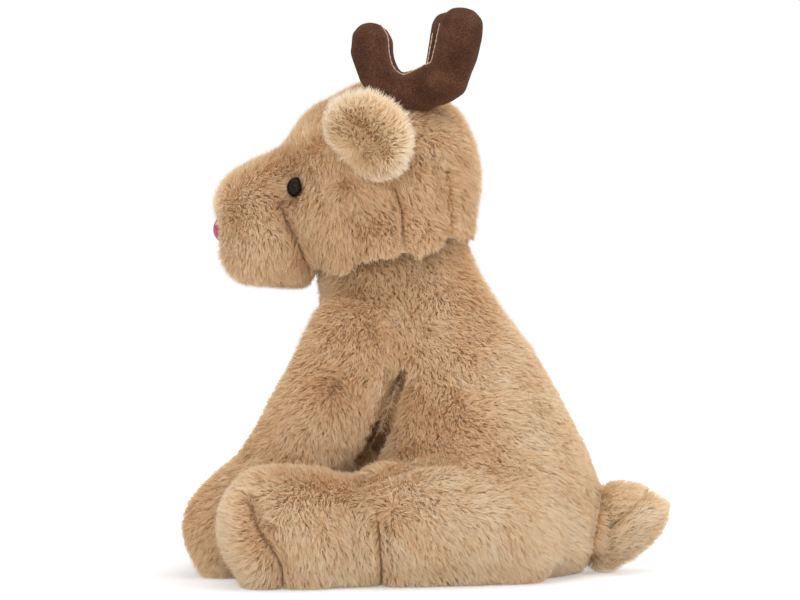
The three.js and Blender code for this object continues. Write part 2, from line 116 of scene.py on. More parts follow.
@dataclass(frozen=True)
class Lattice:
    """Repeatable random numbers on a grid of cells, for noise and tufts."""

    spacing: float
    seed: int = 0

    def random(self, cells: Array, channel: int = 0) -> Array:
        """Random numbers from 0 to 1 for whole-numbered cells.

        Args:
            cells: rows of three whole numbers.
            channel: gives another set of numbers.

        Returns:
            A number for each row.
        """
        c = cells.astype(np.int64).astype(np.uint64)
        mixed = c[..., 0] * np.uint64(73856093)
        mixed ^= c[..., 1] * np.uint64(19349663)
        mixed ^= c[..., 2] * np.uint64(83492791)
        mixed ^= np.uint64(self.seed * 2654435 + channel * 97531 + 7)
        for shift in (13, 17, 11):
            mixed = (mixed ^ (mixed >> np.uint64(shift))) * np.uint64(1274126177)
        return ((mixed >> np.uint64(20)) & np.uint64(0xFFFFFF)).astype(float) / 0xFFFFFF

    def noise(self, points: Array, channel: int = 0) -> Array:
        """Smooth noise from -1 to 1 at each point."""
        scaled = points / self.spacing
        low = np.floor(scaled)
        share = scaled - low
        share = share * share * (3 - 2 * share)
        total = np.zeros(len(points))
        for corner in np.ndindex(2, 2, 2):
            step = np.array(corner)
            weight = np.where(step, share, 1 - share).prod(1)
            total += weight * self.random(low + step, channel)
        return 2 * total - 1

    def vectors(self, points: Array) -> Array:
        """A smooth random vector at each point."""
        return np.stack([self.noise(points, channel) for channel in (11, 12, 13)], 1)

    def tufts(self, points: Array) -> tuple[Array, Array]:
        """The middle of the tuft that each point belongs to, and the tuft's cell."""
        low = np.floor(points / self.spacing)
        best = np.full(len(points), np.inf)
        middles = np.zeros_like(points)
        owners = np.zeros_like(points)
        for corner in np.ndindex(3, 3, 3):
            cell = low + np.array(corner) - 1
            jitter = np.stack([self.random(cell, channel) for channel in (21, 22, 23)], 1)
            middle = (cell + jitter) * self.spacing
            far = ((points - middle) ** 2).sum(1)
            nearer = far < best
            best[nearer] = far[nearer]
            middles[nearer] = middle[nearer]
            owners[nearer] = cell[nearer]
        return middles, owners


@dataclass
class Surface:
    """A closed surface of triangles."""

    points: Array
    faces: Array

    @classmethod
    def of_object(cls, obj: bpy.types.Object) -> "Surface":
        """The surface of an object with its modifiers."""
        graph = bpy.context.evaluated_depsgraph_get()
        made = obj.evaluated_get(graph)
        mesh = made.to_mesh()
        points = np.empty(len(mesh.vertices) * 3)
        mesh.vertices.foreach_get("co", points)
        mesh.calc_loop_triangles()
        faces = np.empty(len(mesh.loop_triangles) * 3, np.int64)
        mesh.loop_triangles.foreach_get("vertices", faces)
        made.to_mesh_clear()
        return cls(points.reshape(-1, 3), faces.reshape(-1, 3))

    @classmethod
    def round_nodes(cls, nodes: Sequence[str], voxel: float, rounds: int) -> "Surface":
        """One outer surface round several nodes of the frame.

        Args:
            nodes: names of the nodes.
            voxel: how finely the surface is made.
            rounds: how many times it is smoothed.

        Returns:
            The outer surface.
        """
        points: list[Array] = []
        faces: list[Array] = []
        start = 0
        for name in nodes:
            part = cls.of_object(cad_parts[name])
            points.append(part.points)
            faces.append(part.faces + start)
            start += len(part.points)
        raw = make_object("raw", np.concatenate(points), np.concatenate(faces))
        welded = raw.modifiers.new("weld", "WELD")
        welded.merge_threshold = 0.02 * MM
        remesh = raw.modifiers.new("remesh", "REMESH")
        remesh.mode = "VOXEL"
        remesh.voxel_size = voxel
        found = cls.of_object(raw)
        remove(raw)
        return found.outer().smoothed(rounds)

    def edges(self) -> Array:
        """Pairs of joined points."""
        pairs = np.concatenate([self.faces[:, ends] for ends in ([0, 1], [1, 2], [2, 0])])
        return np.unique(np.sort(pairs, 1), axis=0)

    def outer(self) -> "Surface":
        """The largest of the separate surfaces, without those inside it."""
        edges = self.edges()
        label = np.arange(len(self.points))
        while True:
            least = np.minimum(label[edges[:, 0]], label[edges[:, 1]])
            before = label.copy()
            np.minimum.at(label, edges[:, 0], least)
            np.minimum.at(label, edges[:, 1], least)
            label = label[label]
            if (label == before).all():
                break
        names, counts = np.unique(label, return_counts=True)
        kept = label == names[counts.argmax()]
        number = np.cumsum(kept) - 1
        return Surface(self.points[kept], number[self.faces[kept[self.faces].all(1)]])

    def averaging(self) -> Callable[[Array], Array]:
        """A function that gives the mean of the neighbours' values at each point."""
        edges = self.edges()
        both = np.concatenate([edges, edges[:, ::-1]])
        count = np.maximum(np.bincount(both[:, 0], minlength=len(self.points)), 1)

        def mean(values: Array) -> Array:
            """The neighbours' means, of one value or of one in each column."""
            if values.ndim == 1:
                return np.bincount(both[:, 0], values[both[:, 1]], len(values)) / count
            return np.stack([mean(column) for column in values.T], 1)

        return mean

    def moved(self, steps: Iterable[float]) -> "Surface":
        """The surface after its points move by shares of the way to their neighbours' mean."""
        mean = self.averaging()
        points = self.points.copy()
        for step in steps:
            points += step * (mean(points) - points)
        return Surface(points, self.faces)

    def smoothed(self, rounds: int) -> "Surface":
        """The surface smoothed, which shrinks it a little."""
        return self.moved([0.5] * rounds)

    def faired(self, rounds: int) -> "Surface":
        """The surface smoothed without shrinking, by moving its points in and out in turn."""
        return self.moved([0.6, -0.607] * rounds)

    def normals(self) -> Array:
        """Outward normals at the points."""
        a, b, c = (self.points[self.faces[:, k]] for k in range(3))
        face = np.cross(b - a, c - a)
        total = np.zeros_like(self.points)
        for k in range(3):
            for axis in range(3):
                total[:, axis] += np.bincount(self.faces[:, k], face[:, axis], len(self.points))
        return unit(total)

    def spread(self, values: Array, rounds: int) -> Array:
        """Values at the points, smoothed over the surface."""
        mean = self.averaging()
        for _ in range(rounds):
            values = 0.5 * values + 0.5 * mean(values)
        return values

    def tree(self) -> BVHTree:
        """A search tree of the surface."""
        return BVHTree.FromPolygons(self.points.tolist(), self.faces.tolist())


def nearest(tree: BVHTree, points: Array) -> tuple[Array, Array, Array]:
    """Where points lie beside a surface.

    Args:
        tree: the surface's search tree.
        points: rows of places.

    Returns:
        The nearest place on the surface to each, its distance, below 0 inside, and the normal there.
    """
    places = np.empty_like(points)
    facing = np.empty_like(points)
    away = np.empty(len(points))
    for i, point in enumerate(points.tolist()):
        place, normal, _, far = tree.find_nearest(point)
        places[i] = place
        facing[i] = normal
        inside = sum((p - q) * n for p, q, n in zip(point, place, normal)) < 0
        away[i] = -far if inside else far
    return places, away, facing


def remove(obj: bpy.types.Object) -> None:
    """Deletes an object that only helped to make another."""
    mesh = obj.data
    bpy.data.objects.remove(obj)
    bpy.data.meshes.remove(mesh)


def link_mesh(name: str, points: Array, faces: Array, sizes: Array, smooth: bool) -> bpy.types.Object:
    """A mesh object whose faces may differ in size.

    Args:
        name: the object's name.
        points: rows of places.
        faces: the point number at each corner of each face in turn.
        sizes: how many corners each face has.
        smooth: whether it is shaded smooth.

    Returns:
        The object, linked to the scene.
    """
    mesh = bpy.data.meshes.new(name)
    mesh.vertices.add(len(points))
    mesh.vertices.foreach_set("co", points.astype(np.float32).ravel())
    mesh.loops.add(len(faces))
    mesh.loops.foreach_set("vertex_index", faces.astype(np.int32))
    mesh.polygons.add(len(sizes))
    mesh.polygons.foreach_set("loop_start", (np.cumsum(sizes) - sizes).astype(np.int32))
    mesh.polygons.foreach_set("use_smooth", np.full(len(sizes), smooth))
    mesh.update(calc_edges=True)
    obj = bpy.data.objects.new(name, mesh)
    bpy.context.scene.collection.objects.link(obj)
    return obj


def make_object(name: str, points: Array, faces: Array, smooth: bool = True) -> bpy.types.Object:
    """A mesh object from rows of triangles or of four-sided faces."""
    return link_mesh(name, points, faces.ravel(), np.full(len(faces), faces.shape[1]), smooth)


def ring_faces(rings: int, sides: int) -> Array:
    """Four-sided faces between rings of points, each with as many sides."""
    ring, here = np.divmod(np.arange((rings - 1) * sides), sides)
    beside = (here + 1) % sides
    start = ring * sides
    return np.stack([start + here, start + beside, start + sides + beside, start + sides + here], 1)


class Nodes:
    """Builds a tree of shader nodes."""

    MIX_SOCKETS = (0, 6, 7)  # of a mix node, its share and both its colours
    MIX_RESULT = 2

    def __init__(self, tree: bpy.types.NodeTree) -> None:
        """Takes the tree to build in."""
        self.nodes = tree.nodes
        self.links = tree.links

    def node(self, kind: str, **settings: object) -> bpy.types.Node:
        """A new node with its settings."""
        made = self.nodes.new(kind)
        for name, value in settings.items():
            setattr(made, name, value)
        return made

    def link(self, source: Socket, target: Socket) -> None:
        """Joins two sockets."""
        self.links.new(source, target)

    def combined(self, operation: str, first: Socket, second: Socket) -> Socket:
        """The result of an operation on two values."""
        made = self.node("ShaderNodeMath", operation=operation)
        self.link(first, made.inputs[0])
        self.link(second, made.inputs[1])
        return made.outputs[0]

    def looked_at(self) -> Socket:
        """1 for what the camera sees, straight, mirrored or through something, and 0 for light."""
        rays = self.node("ShaderNodeLightPath").outputs
        seen = self.combined("MAXIMUM", rays["Is Camera Ray"], rays["Is Glossy Ray"])
        return self.combined("MAXIMUM", seen, rays["Is Transmission Ray"])

    def noise(self, size: float, detail: float = 3.0) -> bpy.types.Node:
        """Noise whose features are about size metres across."""
        made = self.node("ShaderNodeTexNoise")
        made.inputs["Scale"].default_value = 1 / size
        made.inputs["Detail"].default_value = detail
        self.link(self.node("ShaderNodeTexCoord").outputs["Object"], made.inputs["Vector"])
        return made

    def ramp(self, value: Socket, stops: Stops) -> Socket:
        """A colour ramp.

        Args:
            value: what drives it.
            stops: places from 0 to 1, with their colours.

        Returns:
            The colour.
        """
        made = self.node("ShaderNodeValToRGB")
        stops = list(stops)
        elements = made.color_ramp.elements
        while len(elements) < len(stops):
            elements.new(0.5)
        for element, (place, colour) in zip(elements, stops):
            element.position = place
            element.color = (*colour, 1)
        self.link(value, made.inputs["Fac"])
        return made.outputs["Color"]

    def mixed(self, blend: str, share: float, *colours: Socket) -> Socket:
        """Two colours mixed in a way, by a share."""
        made = self.node("ShaderNodeMix", data_type="RGBA", blend_type=blend)
        factor, *targets = (made.inputs[k] for k in self.MIX_SOCKETS)
        factor.default_value = share
        for colour, target in zip(colours, targets):
            self.link(colour, target)
        return made.outputs[self.MIX_RESULT]


class Painter(Nodes):
    """Builds one material from nodes, about one Principled shader."""

    def __init__(self, name: str) -> None:
        """Starts a material."""
        self.material = bpy.data.materials.new(name)
        self.material.use_nodes = True
        super().__init__(self.material.node_tree)
        self.shader = self.nodes["Principled BSDF"]

    def set(self, **values: object) -> None:
        """Sets sockets of the shader, whose names are given with underscores."""
        for name, value in values.items():
            self.shader.inputs[name.replace("_", " ")].default_value = value

    def colour(self, colour: Socket) -> None:
        """Colours the shader."""
        self.link(colour, self.shader.inputs["Base Color"])

    def mottled(self, noise: bpy.types.Node, colour: Point, share: float) -> None:
        """Colours the shader by noise, from a share of a colour up to the whole of it."""
        dark = tuple(share * c for c in colour)
        self.colour(self.ramp(noise.outputs["Fac"], [(0.3, dark), (0.7, colour)]))

    def bump(self, height: bpy.types.Node, distance: float) -> None:
        """Bumps on the shader by noise, a distance high."""
        made = self.node("ShaderNodeBump")
        made.inputs["Distance"].default_value = distance
        made.inputs["Strength"].default_value = 1.0
        self.link(height.outputs["Fac"], made.inputs["Height"])
        self.link(made.outputs["Normal"], self.shader.inputs["Normal"])


@dataclass(frozen=True)
class Finish:
    """The look of a piece, which makes one material."""

    name: str

    def material(self) -> bpy.types.Material:
        """The finish as a material, which is made once."""
        found = bpy.data.materials.get(self.name)
        if found:
            return found
        paint = Painter(self.name)
        self.paint(paint)
        return paint.material

    def paint(self, paint: Painter) -> None:
        """Sets the material's nodes."""
        raise NotImplementedError


@dataclass(frozen=True)
class PileFinish(Finish):
    """Fibres of a pile fabric, darker at the root by painted shade, and darker in some tufts.

    A fibre's map has its tone across and its length up, so colours follow each fibre.
    """

    LOW_TONE: ClassVar[float] = 0.14  # below it the pile takes the painted shade of a fold

    root: Point  # painted shade: what the colours are multiplied by at the root
    half: Point  # and half way up, where the painted shade is lighter
    low: Point
    middle: Point
    high: Point
    # painted shade in the deepest folds and creases
    fold: Point = (0.20, 0.105, 0.05)
    clear: float = 0.42  # the share of light that goes through a fibre

    def paint(self, paint: Painter) -> None:
        """Reads the colours from the fibres' map, and lets light through."""
        places = paint.node("ShaderNodeUVMap", uv_map=Pile.MAP)
        split = paint.node("ShaderNodeSeparateXYZ")
        paint.link(places.outputs["UV"], split.inputs[0])
        stops = [(0, self.fold), (self.LOW_TONE, self.low), (0.5, self.middle), (1, self.high)]
        tone = paint.ramp(split.outputs["X"], stops)
        # painted shade deep in the pile, darkest at each fibre's root
        shade = paint.ramp(split.outputs["Y"], [(0, self.root), (0.5, self.half), (0.9, WHITE)])
        colour = paint.mixed("MULTIPLY", 1.0, tone, shade)
        paint.colour(colour)
        paint.set(Roughness=0.75, Specular_IOR_Level=0.12)
        through = paint.node("ShaderNodeBsdfTranslucent")
        paint.link(colour, through.inputs["Color"])
        both = paint.node("ShaderNodeMixShader")
        both.inputs["Fac"].default_value = self.clear
        paint.link(paint.shader.outputs[0], both.inputs[1])
        paint.link(through.outputs[0], both.inputs[2])
        paint.link(both.outputs[0], paint.nodes["Material Output"].inputs["Surface"])


@dataclass(frozen=True)
class BackingFinish(Finish):
    """Knitted backing cloth under the pile, in its own colour, kept darker than the pile as painted shade in
    the gaps between fibres.
    """

    name: str = "backing_cloth"
    # painted shade in the gaps between fibres: darker than the pile
    colour: Point = (0.78, 0.60, 0.40)

    def paint(self, paint: Painter) -> None:
        """Adds patches and the bumps of loops."""
        paint.mottled(paint.noise(9 * MM), self.colour, 0.7)
        paint.bump(paint.noise(1.2 * MM), 0.4 * MM)
        paint.set(Roughness=0.95, Specular_IOR_Level=0.1)


@dataclass(frozen=True)
class SuedeFinish(Finish):
    """Brushed cloth like suede, with nap that lies several ways."""

    name: str = "brushed_suede"
    dark: Point = (0.034, 0.0125, 0.0065)
    middle: Point = (0.092, 0.037, 0.020)
    light: Point = (0.19, 0.088, 0.050)
    sheen: Point = (0.9, 0.56, 0.38)

    def paint(self, paint: Painter) -> None:
        """Mixes large patches with the nap."""
        patches = paint.noise(14 * MM, 4.0)
        nap = paint.noise(0.8 * MM, 4.0)
        both = paint.mixed("MIX", 0.55, patches.outputs["Color"], nap.outputs["Color"])
        grey = paint.node("ShaderNodeRGBToBW")
        paint.link(both, grey.inputs[0])
        stops = [(0.36, self.dark), (0.5, self.middle), (0.64, self.light)]
        paint.colour(paint.ramp(grey.outputs[0], stops))
        paint.bump(nap, 0.8 * MM)
        paint.set(Roughness=0.9, Specular_IOR_Level=0.12, Sheen_Weight=0.16, Sheen_Roughness=0.45)
        paint.set(Sheen_Tint=(*self.sheen, 1))


@dataclass(frozen=True)
class ThreadFinish(Finish):
    """Embroidery thread with a satin shine."""

    colour: Point
    sheen: float

    def paint(self, paint: Painter) -> None:
        """Adds the thread's strands."""
        strands = paint.noise(0.6 * MM)
        paint.mottled(strands, self.colour, 0.72)
        paint.bump(strands, 0.15 * MM)
        paint.set(Roughness=0.42, Specular_IOR_Level=0.5, Sheen_Weight=self.sheen)


@dataclass(frozen=True)
class EyeFinish(Finish):
    """Polished dark plastic, browner in some places."""

    name: str = "eye_plastic_polished"
    dark: Point = (0.006, 0.004, 0.003)
    brown: Point = (0.022, 0.013, 0.008)

    def paint(self, paint: Painter) -> None:
        """Adds clouds to the polished plastic."""
        clouds = paint.noise(4 * MM)
        paint.colour(paint.ramp(clouds.outputs["Fac"], [(0.3, self.dark), (0.75, self.brown)]))
        paint.set(Roughness=0.10, Specular_IOR_Level=0.10)


@dataclass(frozen=True)
class PlainFinish(Finish):
    """A hidden piece's cloth or moulded plastic, with a fine grain."""

    colour: Point
    grain: float
    roughness: float

    def paint(self, paint: Painter) -> None:
        """Adds the grain."""
        grain = paint.noise(self.grain)
        paint.mottled(grain, self.colour, 0.85)
        paint.bump(grain, 0.1 * MM)
        paint.set(Roughness=self.roughness)


TAN_PILE = PileFinish(
    "tan_pile",
    # root and half darken the pile towards its roots as painted shade
    root=(0.86, 0.77, 0.64),
    half=(0.97, 0.94, 0.90),
    low=(0.87, 0.65, 0.40),
    middle=(0.955, 0.78, 0.545),
    high=(0.99, 0.90, 0.75),
)
EAR_PILE = PileFinish(
    "ear_pile",
    # root and half darken the pile towards its roots as painted shade
    root=(0.97, 0.93, 0.86),
    half=(0.99, 0.97, 0.94),
    low=(0.95, 0.77, 0.51),
    middle=(0.98, 0.85, 0.65),
    high=(0.995, 0.94, 0.85),
)


def settle(obj: bpy.types.Object, finish: Finish, body: str) -> None:
    """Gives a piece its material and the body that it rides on."""
    obj.data.materials.append(finish.material())
    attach(obj, body)


def flipped(point: Point) -> Point:
    """A place or a way on the other side of the toy."""
    x, y, z = point
    return x, -y, z


def on_side(side: Side, *points: Point) -> tuple[Point, ...]:
    """Places that are given for the left side, on a side."""
    return points if side is Side.LEFT else tuple(flipped(point) for point in points)


@dataclass(frozen=True)
class Guide:
    """A place on the toy, in millimetres, and the way that its pile lies there."""

    place: Point
    way: Point

    def mirrored(self) -> "Guide":
        """The same guide on the other side of the toy."""
        return Guide(flipped(self.place), flipped(self.way))


@dataclass(frozen=True)
class Whorl:
    """A place, in millimetres, that the pile lies away from, so that its roots show."""

    place: Point
    radius: float
    # painted shade where the pile parts; below 0 it is paler instead
    dark: float

    def mirrored(self) -> "Whorl":
        """The same whorl on the other side of the toy."""
        return replace(self, place=flipped(self.place))


@dataclass(frozen=True)
class Groove:
    """A line, in millimetres, that the cloth is drawn in along, at a seam or a fold."""

    FLANK: ClassVar[float] = 25 * MM  # a line further out than this fades towards the toy's middle
    FADE: ClassVar[tuple[float, float]] = (12 * MM, 30 * MM)  # from the middle, nothing and all of it

    line: tuple[Point, ...]
    width: float
    depth: float
    side_on: bool = False  # drawn as the side view shows it, on the line's side of the toy
    deep: float = 0.0  # painted shade in its fold: how much darker than the pile's low tone

    def mirrored(self) -> "Groove":
        """The same groove on the other side of the toy."""
        return replace(self, line=tuple(flipped(point) for point in self.line))

    def nearness(self, points: Array) -> tuple[Array, Array]:
        """How near points are to the line.

        Args:
            points: rows of places, in metres.

        Returns:
            1 on the line down to 0 at its width away, and the offset from the line.
        """
        best = np.full(len(points), np.inf)
        offset = np.zeros_like(points)
        seen = np.array([1, 0 if self.side_on else 1, 1])
        for a, b in zip(self.line, self.line[1:]):
            start = np.array(a) * MM * seen
            along = np.array(b) * MM * seen - start
            share = np.clip((points * seen - start) @ along / (along @ along), 0, 1)
            away = points * seen - (start + share[:, None] * along)
            far = np.linalg.norm(away, axis=1)
            nearer = far < best
            best[nearer] = far[nearer]
            offset[nearer] = away[nearer]
        near = 1 - ease(best, 0, self.width * MM)
        across = self.line[0][1] * MM
        if self.side_on and abs(across) > self.FLANK:
            near = near * ease(points[:, 1] * np.sign(across), *self.FADE)
        return near, offset


Mark = Guide | Whorl | Groove


def guides(*rows: Sequence[float]) -> tuple[Guide, ...]:
    """Guides from rows, each with a place and a way."""
    return tuple(Guide(tuple(row[:3]), tuple(row[3:])) for row in rows)


def whorls(*rows: Sequence[float]) -> tuple[Whorl, ...]:
    """Whorls from rows, each with a place, a radius and the painted shade that it adds."""
    return tuple(Whorl(tuple(row[:3]), *row[3:]) for row in rows)


def other_side(marks: Iterable[Mark]) -> tuple[Mark, ...]:
    """Marks of the left side, on the right side."""
    return tuple(mark.mirrored() for mark in marks)


def both(marks: Sequence[Mark]) -> tuple[Mark, ...]:
    """Marks of the left side, and the same ones on the right side."""
    return (*marks, *other_side(marks))


def one(side: Side, marks: Sequence[Mark]) -> tuple[Mark, ...]:
    """Marks that are given for the left side, on a side."""
    return tuple(marks) if side is Side.LEFT else other_side(marks)


@dataclass(frozen=True)
class Shift:
    """How an edge of a form moves up or down along its length, as the stuffing pushes it.

    A station has X, the edge's height and how far it moves, in millimetres.
    """

    stations: tuple[Point, ...]
    reach: float  # from the edge, past which nothing moves

    def moves(self, points: Array) -> Array:
        """How far points, in millimetres, move up, in metres."""
        x, edge, move = np.array(self.stations, float).T
        near = 1 - ease(np.abs(points[:, 2] - np.interp(points[:, 0], x, edge)), 0, self.reach)
        return MM * near * np.interp(points[:, 0], x, move)


@dataclass(frozen=True)
class Pile:
    """How the fibres of a fabric stand."""

    MAP: ClassVar[str] = "OFBake"
    MOST: ClassVar[int] = 62_000  # fibres in one piece
    QUICK: ClassVar[float] = 0.35
    LEAST: ClassVar[float] = 1.5 * MM  # length
    FLOOR: ClassVar[float] = 0.35 * MM  # over which the fibres stay

    length: float = 7.4 * MM
    pressed: float = 4.0 * MM  # where a neighbour presses on it
    density: float = 3.2e6  # fibres in a square metre
    width: float = 0.42 * MM
    rise: float = 12.0  # degrees from upright at the root
    lay: float = 50.0  # degrees from upright at the tip
    tuft: float = 2.4 * MM
    pull: float = 0.4  # how far fibres lean together in a tuft
    swirl: float = 0.6  # how much the way that they lie wanders
    tuft_turn: float = 0.35  # how far a tuft lies sideways
    own_turn: float = 0.22  # and each fibre in it
    uneven: float = 0.10  # how much tufts, and fibres, differ in length
    pressed_rise: float = 25.0  # degrees that pressed pile leans more at the root
    pressed_lay: float = 18.0  # and at the tip
    own_rise: float = 6.0  # degrees that fibres differ at the root
    own_lay: float = 7.0  # and at the tip, as tufts do
    patch_lay: float = 6.0  # and patches
    wide_tone: float = 0.16  # how much large patches differ in tone
    patch_tone: float = 0.14  # and small ones
    tuft_tone: float = 0.10  # and tufts
    own_tone: float = 0.13  # and fibres


@dataclass
class Fibres:
    """Fibres as rows: roots, middles, tips, sideways halves and tones."""

    CORNERS: ClassVar[Sequence[int]] = (0, 1, 3, 2, 2, 3, 4)  # of a four-sided face and a triangle
    ACROSS: ClassVar[Sequence[float]] = (-0.015, 0.015, 0.012, -0.012, -0.012, 0.012, 0)
    ALONG: ClassVar[Sequence[float]] = (0.02, 0.02, 0.5, 0.5, 0.5, 0.5, 0.98)

    roots: Array
    middles: Array
    tips: Array
    halves: Array
    tones: Array

    def build(self, name: str) -> bpy.types.Object:
        """One mesh object of tapered ribbons, each with its map."""
        count = len(self.roots)
        wide, narrow = self.halves, 0.85 * self.halves
        low, high = self.middles - narrow, self.middles + narrow
        points = np.stack([self.roots - wide, self.roots + wide, low, high, self.tips], 1)
        corners = (5 * np.arange(count)[:, None] + np.array(self.CORNERS)).ravel()
        obj = link_mesh(name, points.reshape(-1, 3), corners, np.tile([4, 3], count), True)
        places = np.empty((count, len(self.CORNERS), 2), np.float32)
        places[:, :, 0] = np.clip(self.tones, 0.02, 0.98)[:, None] + np.array(self.ACROSS)
        places[:, :, 1] = np.array(self.ALONG)
        obj.data.uv_layers.new(name=Pile.MAP).data.foreach_set("uv", places.ravel())
        return obj

    def where(self, kept: Array) -> "Fibres":
        """Only the fibres that are kept."""
        rows = (self.roots, self.middles, self.tips, self.halves, self.tones)
        return Fibres(*(values[kept] for values in rows))


@dataclass
class StuffedForm:
    """A stuffed bag of backing cloth with its pile, which stands for covers and fillings of the frame."""

    PRESSED: ClassVar[float] = 2.5 * MM  # from a neighbour, where the pile lies flat
    FREE: ClassVar[float] = 12 * MM  # and where it stands free
    BURIED: ClassVar[float] = -0.5 * MM  # inside a neighbour, where none grows
    SEARCH: ClassVar[float] = 20 * MM  # round a neighbour
    HIDDEN: ClassVar[float] = 9 * MM  # under a junction, where cloth inside it lies
    MERGED: ClassVar[float] = 17 * MM  # from a junction, past which cloth stays where it is
    SAG: ClassVar[float] = 13 * MM  # the height below which the cloth settles towards the floor
    SOLE: ClassVar[float] = 1.5 * MM  # the height of settled cloth
    LUMP: ClassVar[float] = 0.7 * MM  # how high the stuffing's lumps are
    GUIDED: ClassVar[float] = 12 * MM  # from a guide, within which it leads most
    WHORL_PULL: ClassVar[float] = 1.6  # how strongly a whorl turns the pile
    GROOVE_PULL: ClassVar[float] = 1.5  # and a groove
    GROOVE_SHADE: ClassVar[float] = 0.2  # painted shade that a groove adds to the pile
    PRESSED_NEED: ClassVar[float] = 0.45  # of the density, under a neighbour
    SOLE_NEED: ClassVar[float] = 0.3  # and on the floor

    name: str
    body: str
    nodes: tuple[str, ...]
    guides: tuple[Guide, ...]
    whorls: tuple[Whorl, ...] = ()
    grooves: tuple[Groove, ...] = ()
    pile: Pile = Pile()
    finish: PileFinish = TAN_PILE
    voxel: float = 3 * MM
    rounds: int = 3
    depth: float = 6.0 * MM  # of the backing under the tips
    contact: float = 1.5 * MM  # of the backing under a pressed surface
    fill: float = 0.75
    bend: tuple[str, Point, Point] | None = None  # the body it is sewn to, and where it bends
    joined: Callable[[Array], Array] | None = None  # how far points belong to the sewn junction
    shifts: tuple[Shift, ...] = ()
    seat: float = 0.0  # how far the seat spreads behind at the floor
    tone: float = 0.0  # how much paler the pile is
    behind: float = 0.0  # painted light: how much paler still towards the back
    seed: int = 1
    raw: Surface = field(init=False)
    backing: Surface = field(init=False)
    exposed: Array = field(init=False)
    buried: Array = field(init=False)

    def measure(self) -> None:
        """Makes the surface round the form's nodes."""
        self.raw = Surface.round_nodes(self.nodes, self.voxel, self.rounds)

    def clearance(self, neighbours: Sequence["StuffedForm"]) -> Array:
        """How far the surface's points are from the neighbours, below 0 inside them."""
        points = self.raw.points
        clear = np.full(len(points), np.inf)
        for other in neighbours:
            low = other.raw.points.min(0) - self.SEARCH
            high = other.raw.points.max(0) + self.SEARCH
            close = ((points > low) & (points < high)).all(1)
            if close.any():
                clear[close] = np.minimum(clear[close], nearest(other.raw.tree(), points[close])[1])
        return clear

    def shape(self, neighbours: Sequence["StuffedForm"], junction: Surface | None) -> None:
        """Makes the backing, drawn in from the tips, less where a neighbour presses on it.

        Args:
            neighbours: the forms that may touch it.
            junction: one smooth surface over it and what it is sewn to.
        """
        points = self.raw.points.copy()
        normals = self.raw.normals()
        clear = self.clearance(neighbours)
        exposed = ease(clear, self.PRESSED, self.FREE)
        buried = clear < self.BURIED
        if junction is not None and self.joined is not None:
            places, away, facing = nearest(junction.tree(), points)
            agree = ease(dots(normals, facing)[:, 0], -0.1, 0.35)
            whole = self.joined(points)
            share = whole * agree * (1 - ease(np.abs(away), self.HIDDEN, self.MERGED))
            under = whole * (1 - agree) * (away > -self.HIDDEN)
            points += share[:, None] * (places - points)
            points += under[:, None] * (places - self.HIDDEN * facing - points)
            normals = unit((1 - share[:, None]) * normals + share[:, None] * facing)
            exposed = np.maximum(exposed, share)
            buried = (buried & (share < 0.5)) | (under > 0.5)
        exposed = self.raw.spread(exposed, 4)
        inward = self.contact + (self.depth - self.contact) * exposed
        inward *= 1 - 0.5 * (1 - ease(points[:, 2], 0, 8 * MM))
        lumps = Lattice(26 * MM, self.seed).noise(points) + 0.5 * Lattice(11 * MM, self.seed).noise(points)
        inward += self.LUMP * lumps * exposed
        for groove in self.grooves:
            inward += groove.depth * MM * groove.nearness(points)[0]
        points -= inward[:, None] * normals
        self.backing = Surface(points, self.raw.faces).smoothed(2)
        self.settle_down(self.backing.points)
        self.exposed = exposed
        self.buried = buried

    def settle_down(self, points: Array) -> None:
        """Moves the backing's edges by the shifts, spreads the seat and settles it on the floor."""
        points[:, 2] += sum(shift.moves(points / MM) for shift in self.shifts)
        back = ease(points[:, 0], 55 * MM, 88 * MM)
        points[:, 0] += self.seat * back * (1 - ease(points[:, 2], 2 * MM, 30 * MM))
        height = points[:, 2]
        height = np.where((height > 0) & (height < self.SAG), height * height / self.SAG, height)
        points[:, 2] = np.maximum(height, self.SOLE)

    def combed(self, points: Array, normals: Array, drawn: Iterable[Sequence[Array]]) -> tuple[Array, ...]:
        """The way that the pile lies at each point.

        Args:
            points: rows of places.
            normals: the surface's normals there.
            drawn: the nearness and offset of each groove.

        Returns:
            Unit vectors along the surface, the painted shade that the marks add, and how much it stands,
            from 0 to 1.
        """
        way = np.zeros_like(points)
        for guide in self.guides:
            far = np.linalg.norm(points - np.array(guide.place) * MM, axis=1)
            way += unit(np.array(guide.way, float)) / (far[:, None] ** 2 + self.GUIDED**2)
        way = unit(way - dots(way, normals) * normals)
        way = way + self.pile.swirl * Lattice(24 * MM, self.seed + 5).vectors(points)
        way = way + 0.5 * self.pile.swirl * Lattice(10 * MM, self.seed + 6).vectors(points)
        dark = np.zeros(len(points))
        stand = np.zeros(len(points))
        for whorl in self.whorls:
            away = points - np.array(whorl.place) * MM
            near = 1 - ease(np.linalg.norm(away, axis=1), 0, whorl.radius * MM)
            way += self.WHORL_PULL * near[:, None] * unit(away - dots(away, normals) * normals)
            # painted shade where the pile parts at a whorl
            dark += whorl.dark * near
            stand = np.maximum(stand, near)
        for near, away in drawn:
            way += self.GROOVE_PULL * near[:, None] * unit(away)
            # painted shade along a groove
            dark += self.GROOVE_SHADE * near
        return unit(way - dots(way, normals) * normals), dark, stand

    def keep(self, roots: Array) -> Array:
        """Which fibres may grow, by their roots."""
        return np.ones(len(roots), bool)

    def toned(self, roots: Array, tone: Array) -> Array:
        """The fibres' tones, which a form may change by their roots, paler towards the back by painted
        light.
        """
        return tone + self.tone + self.behind * ease(roots[:, 0], 15 * MM, 75 * MM)

    def lengthened(self, roots: Array, length: Array) -> Array:
        """The fibres' lengths, which a form may change by their roots."""
        return length

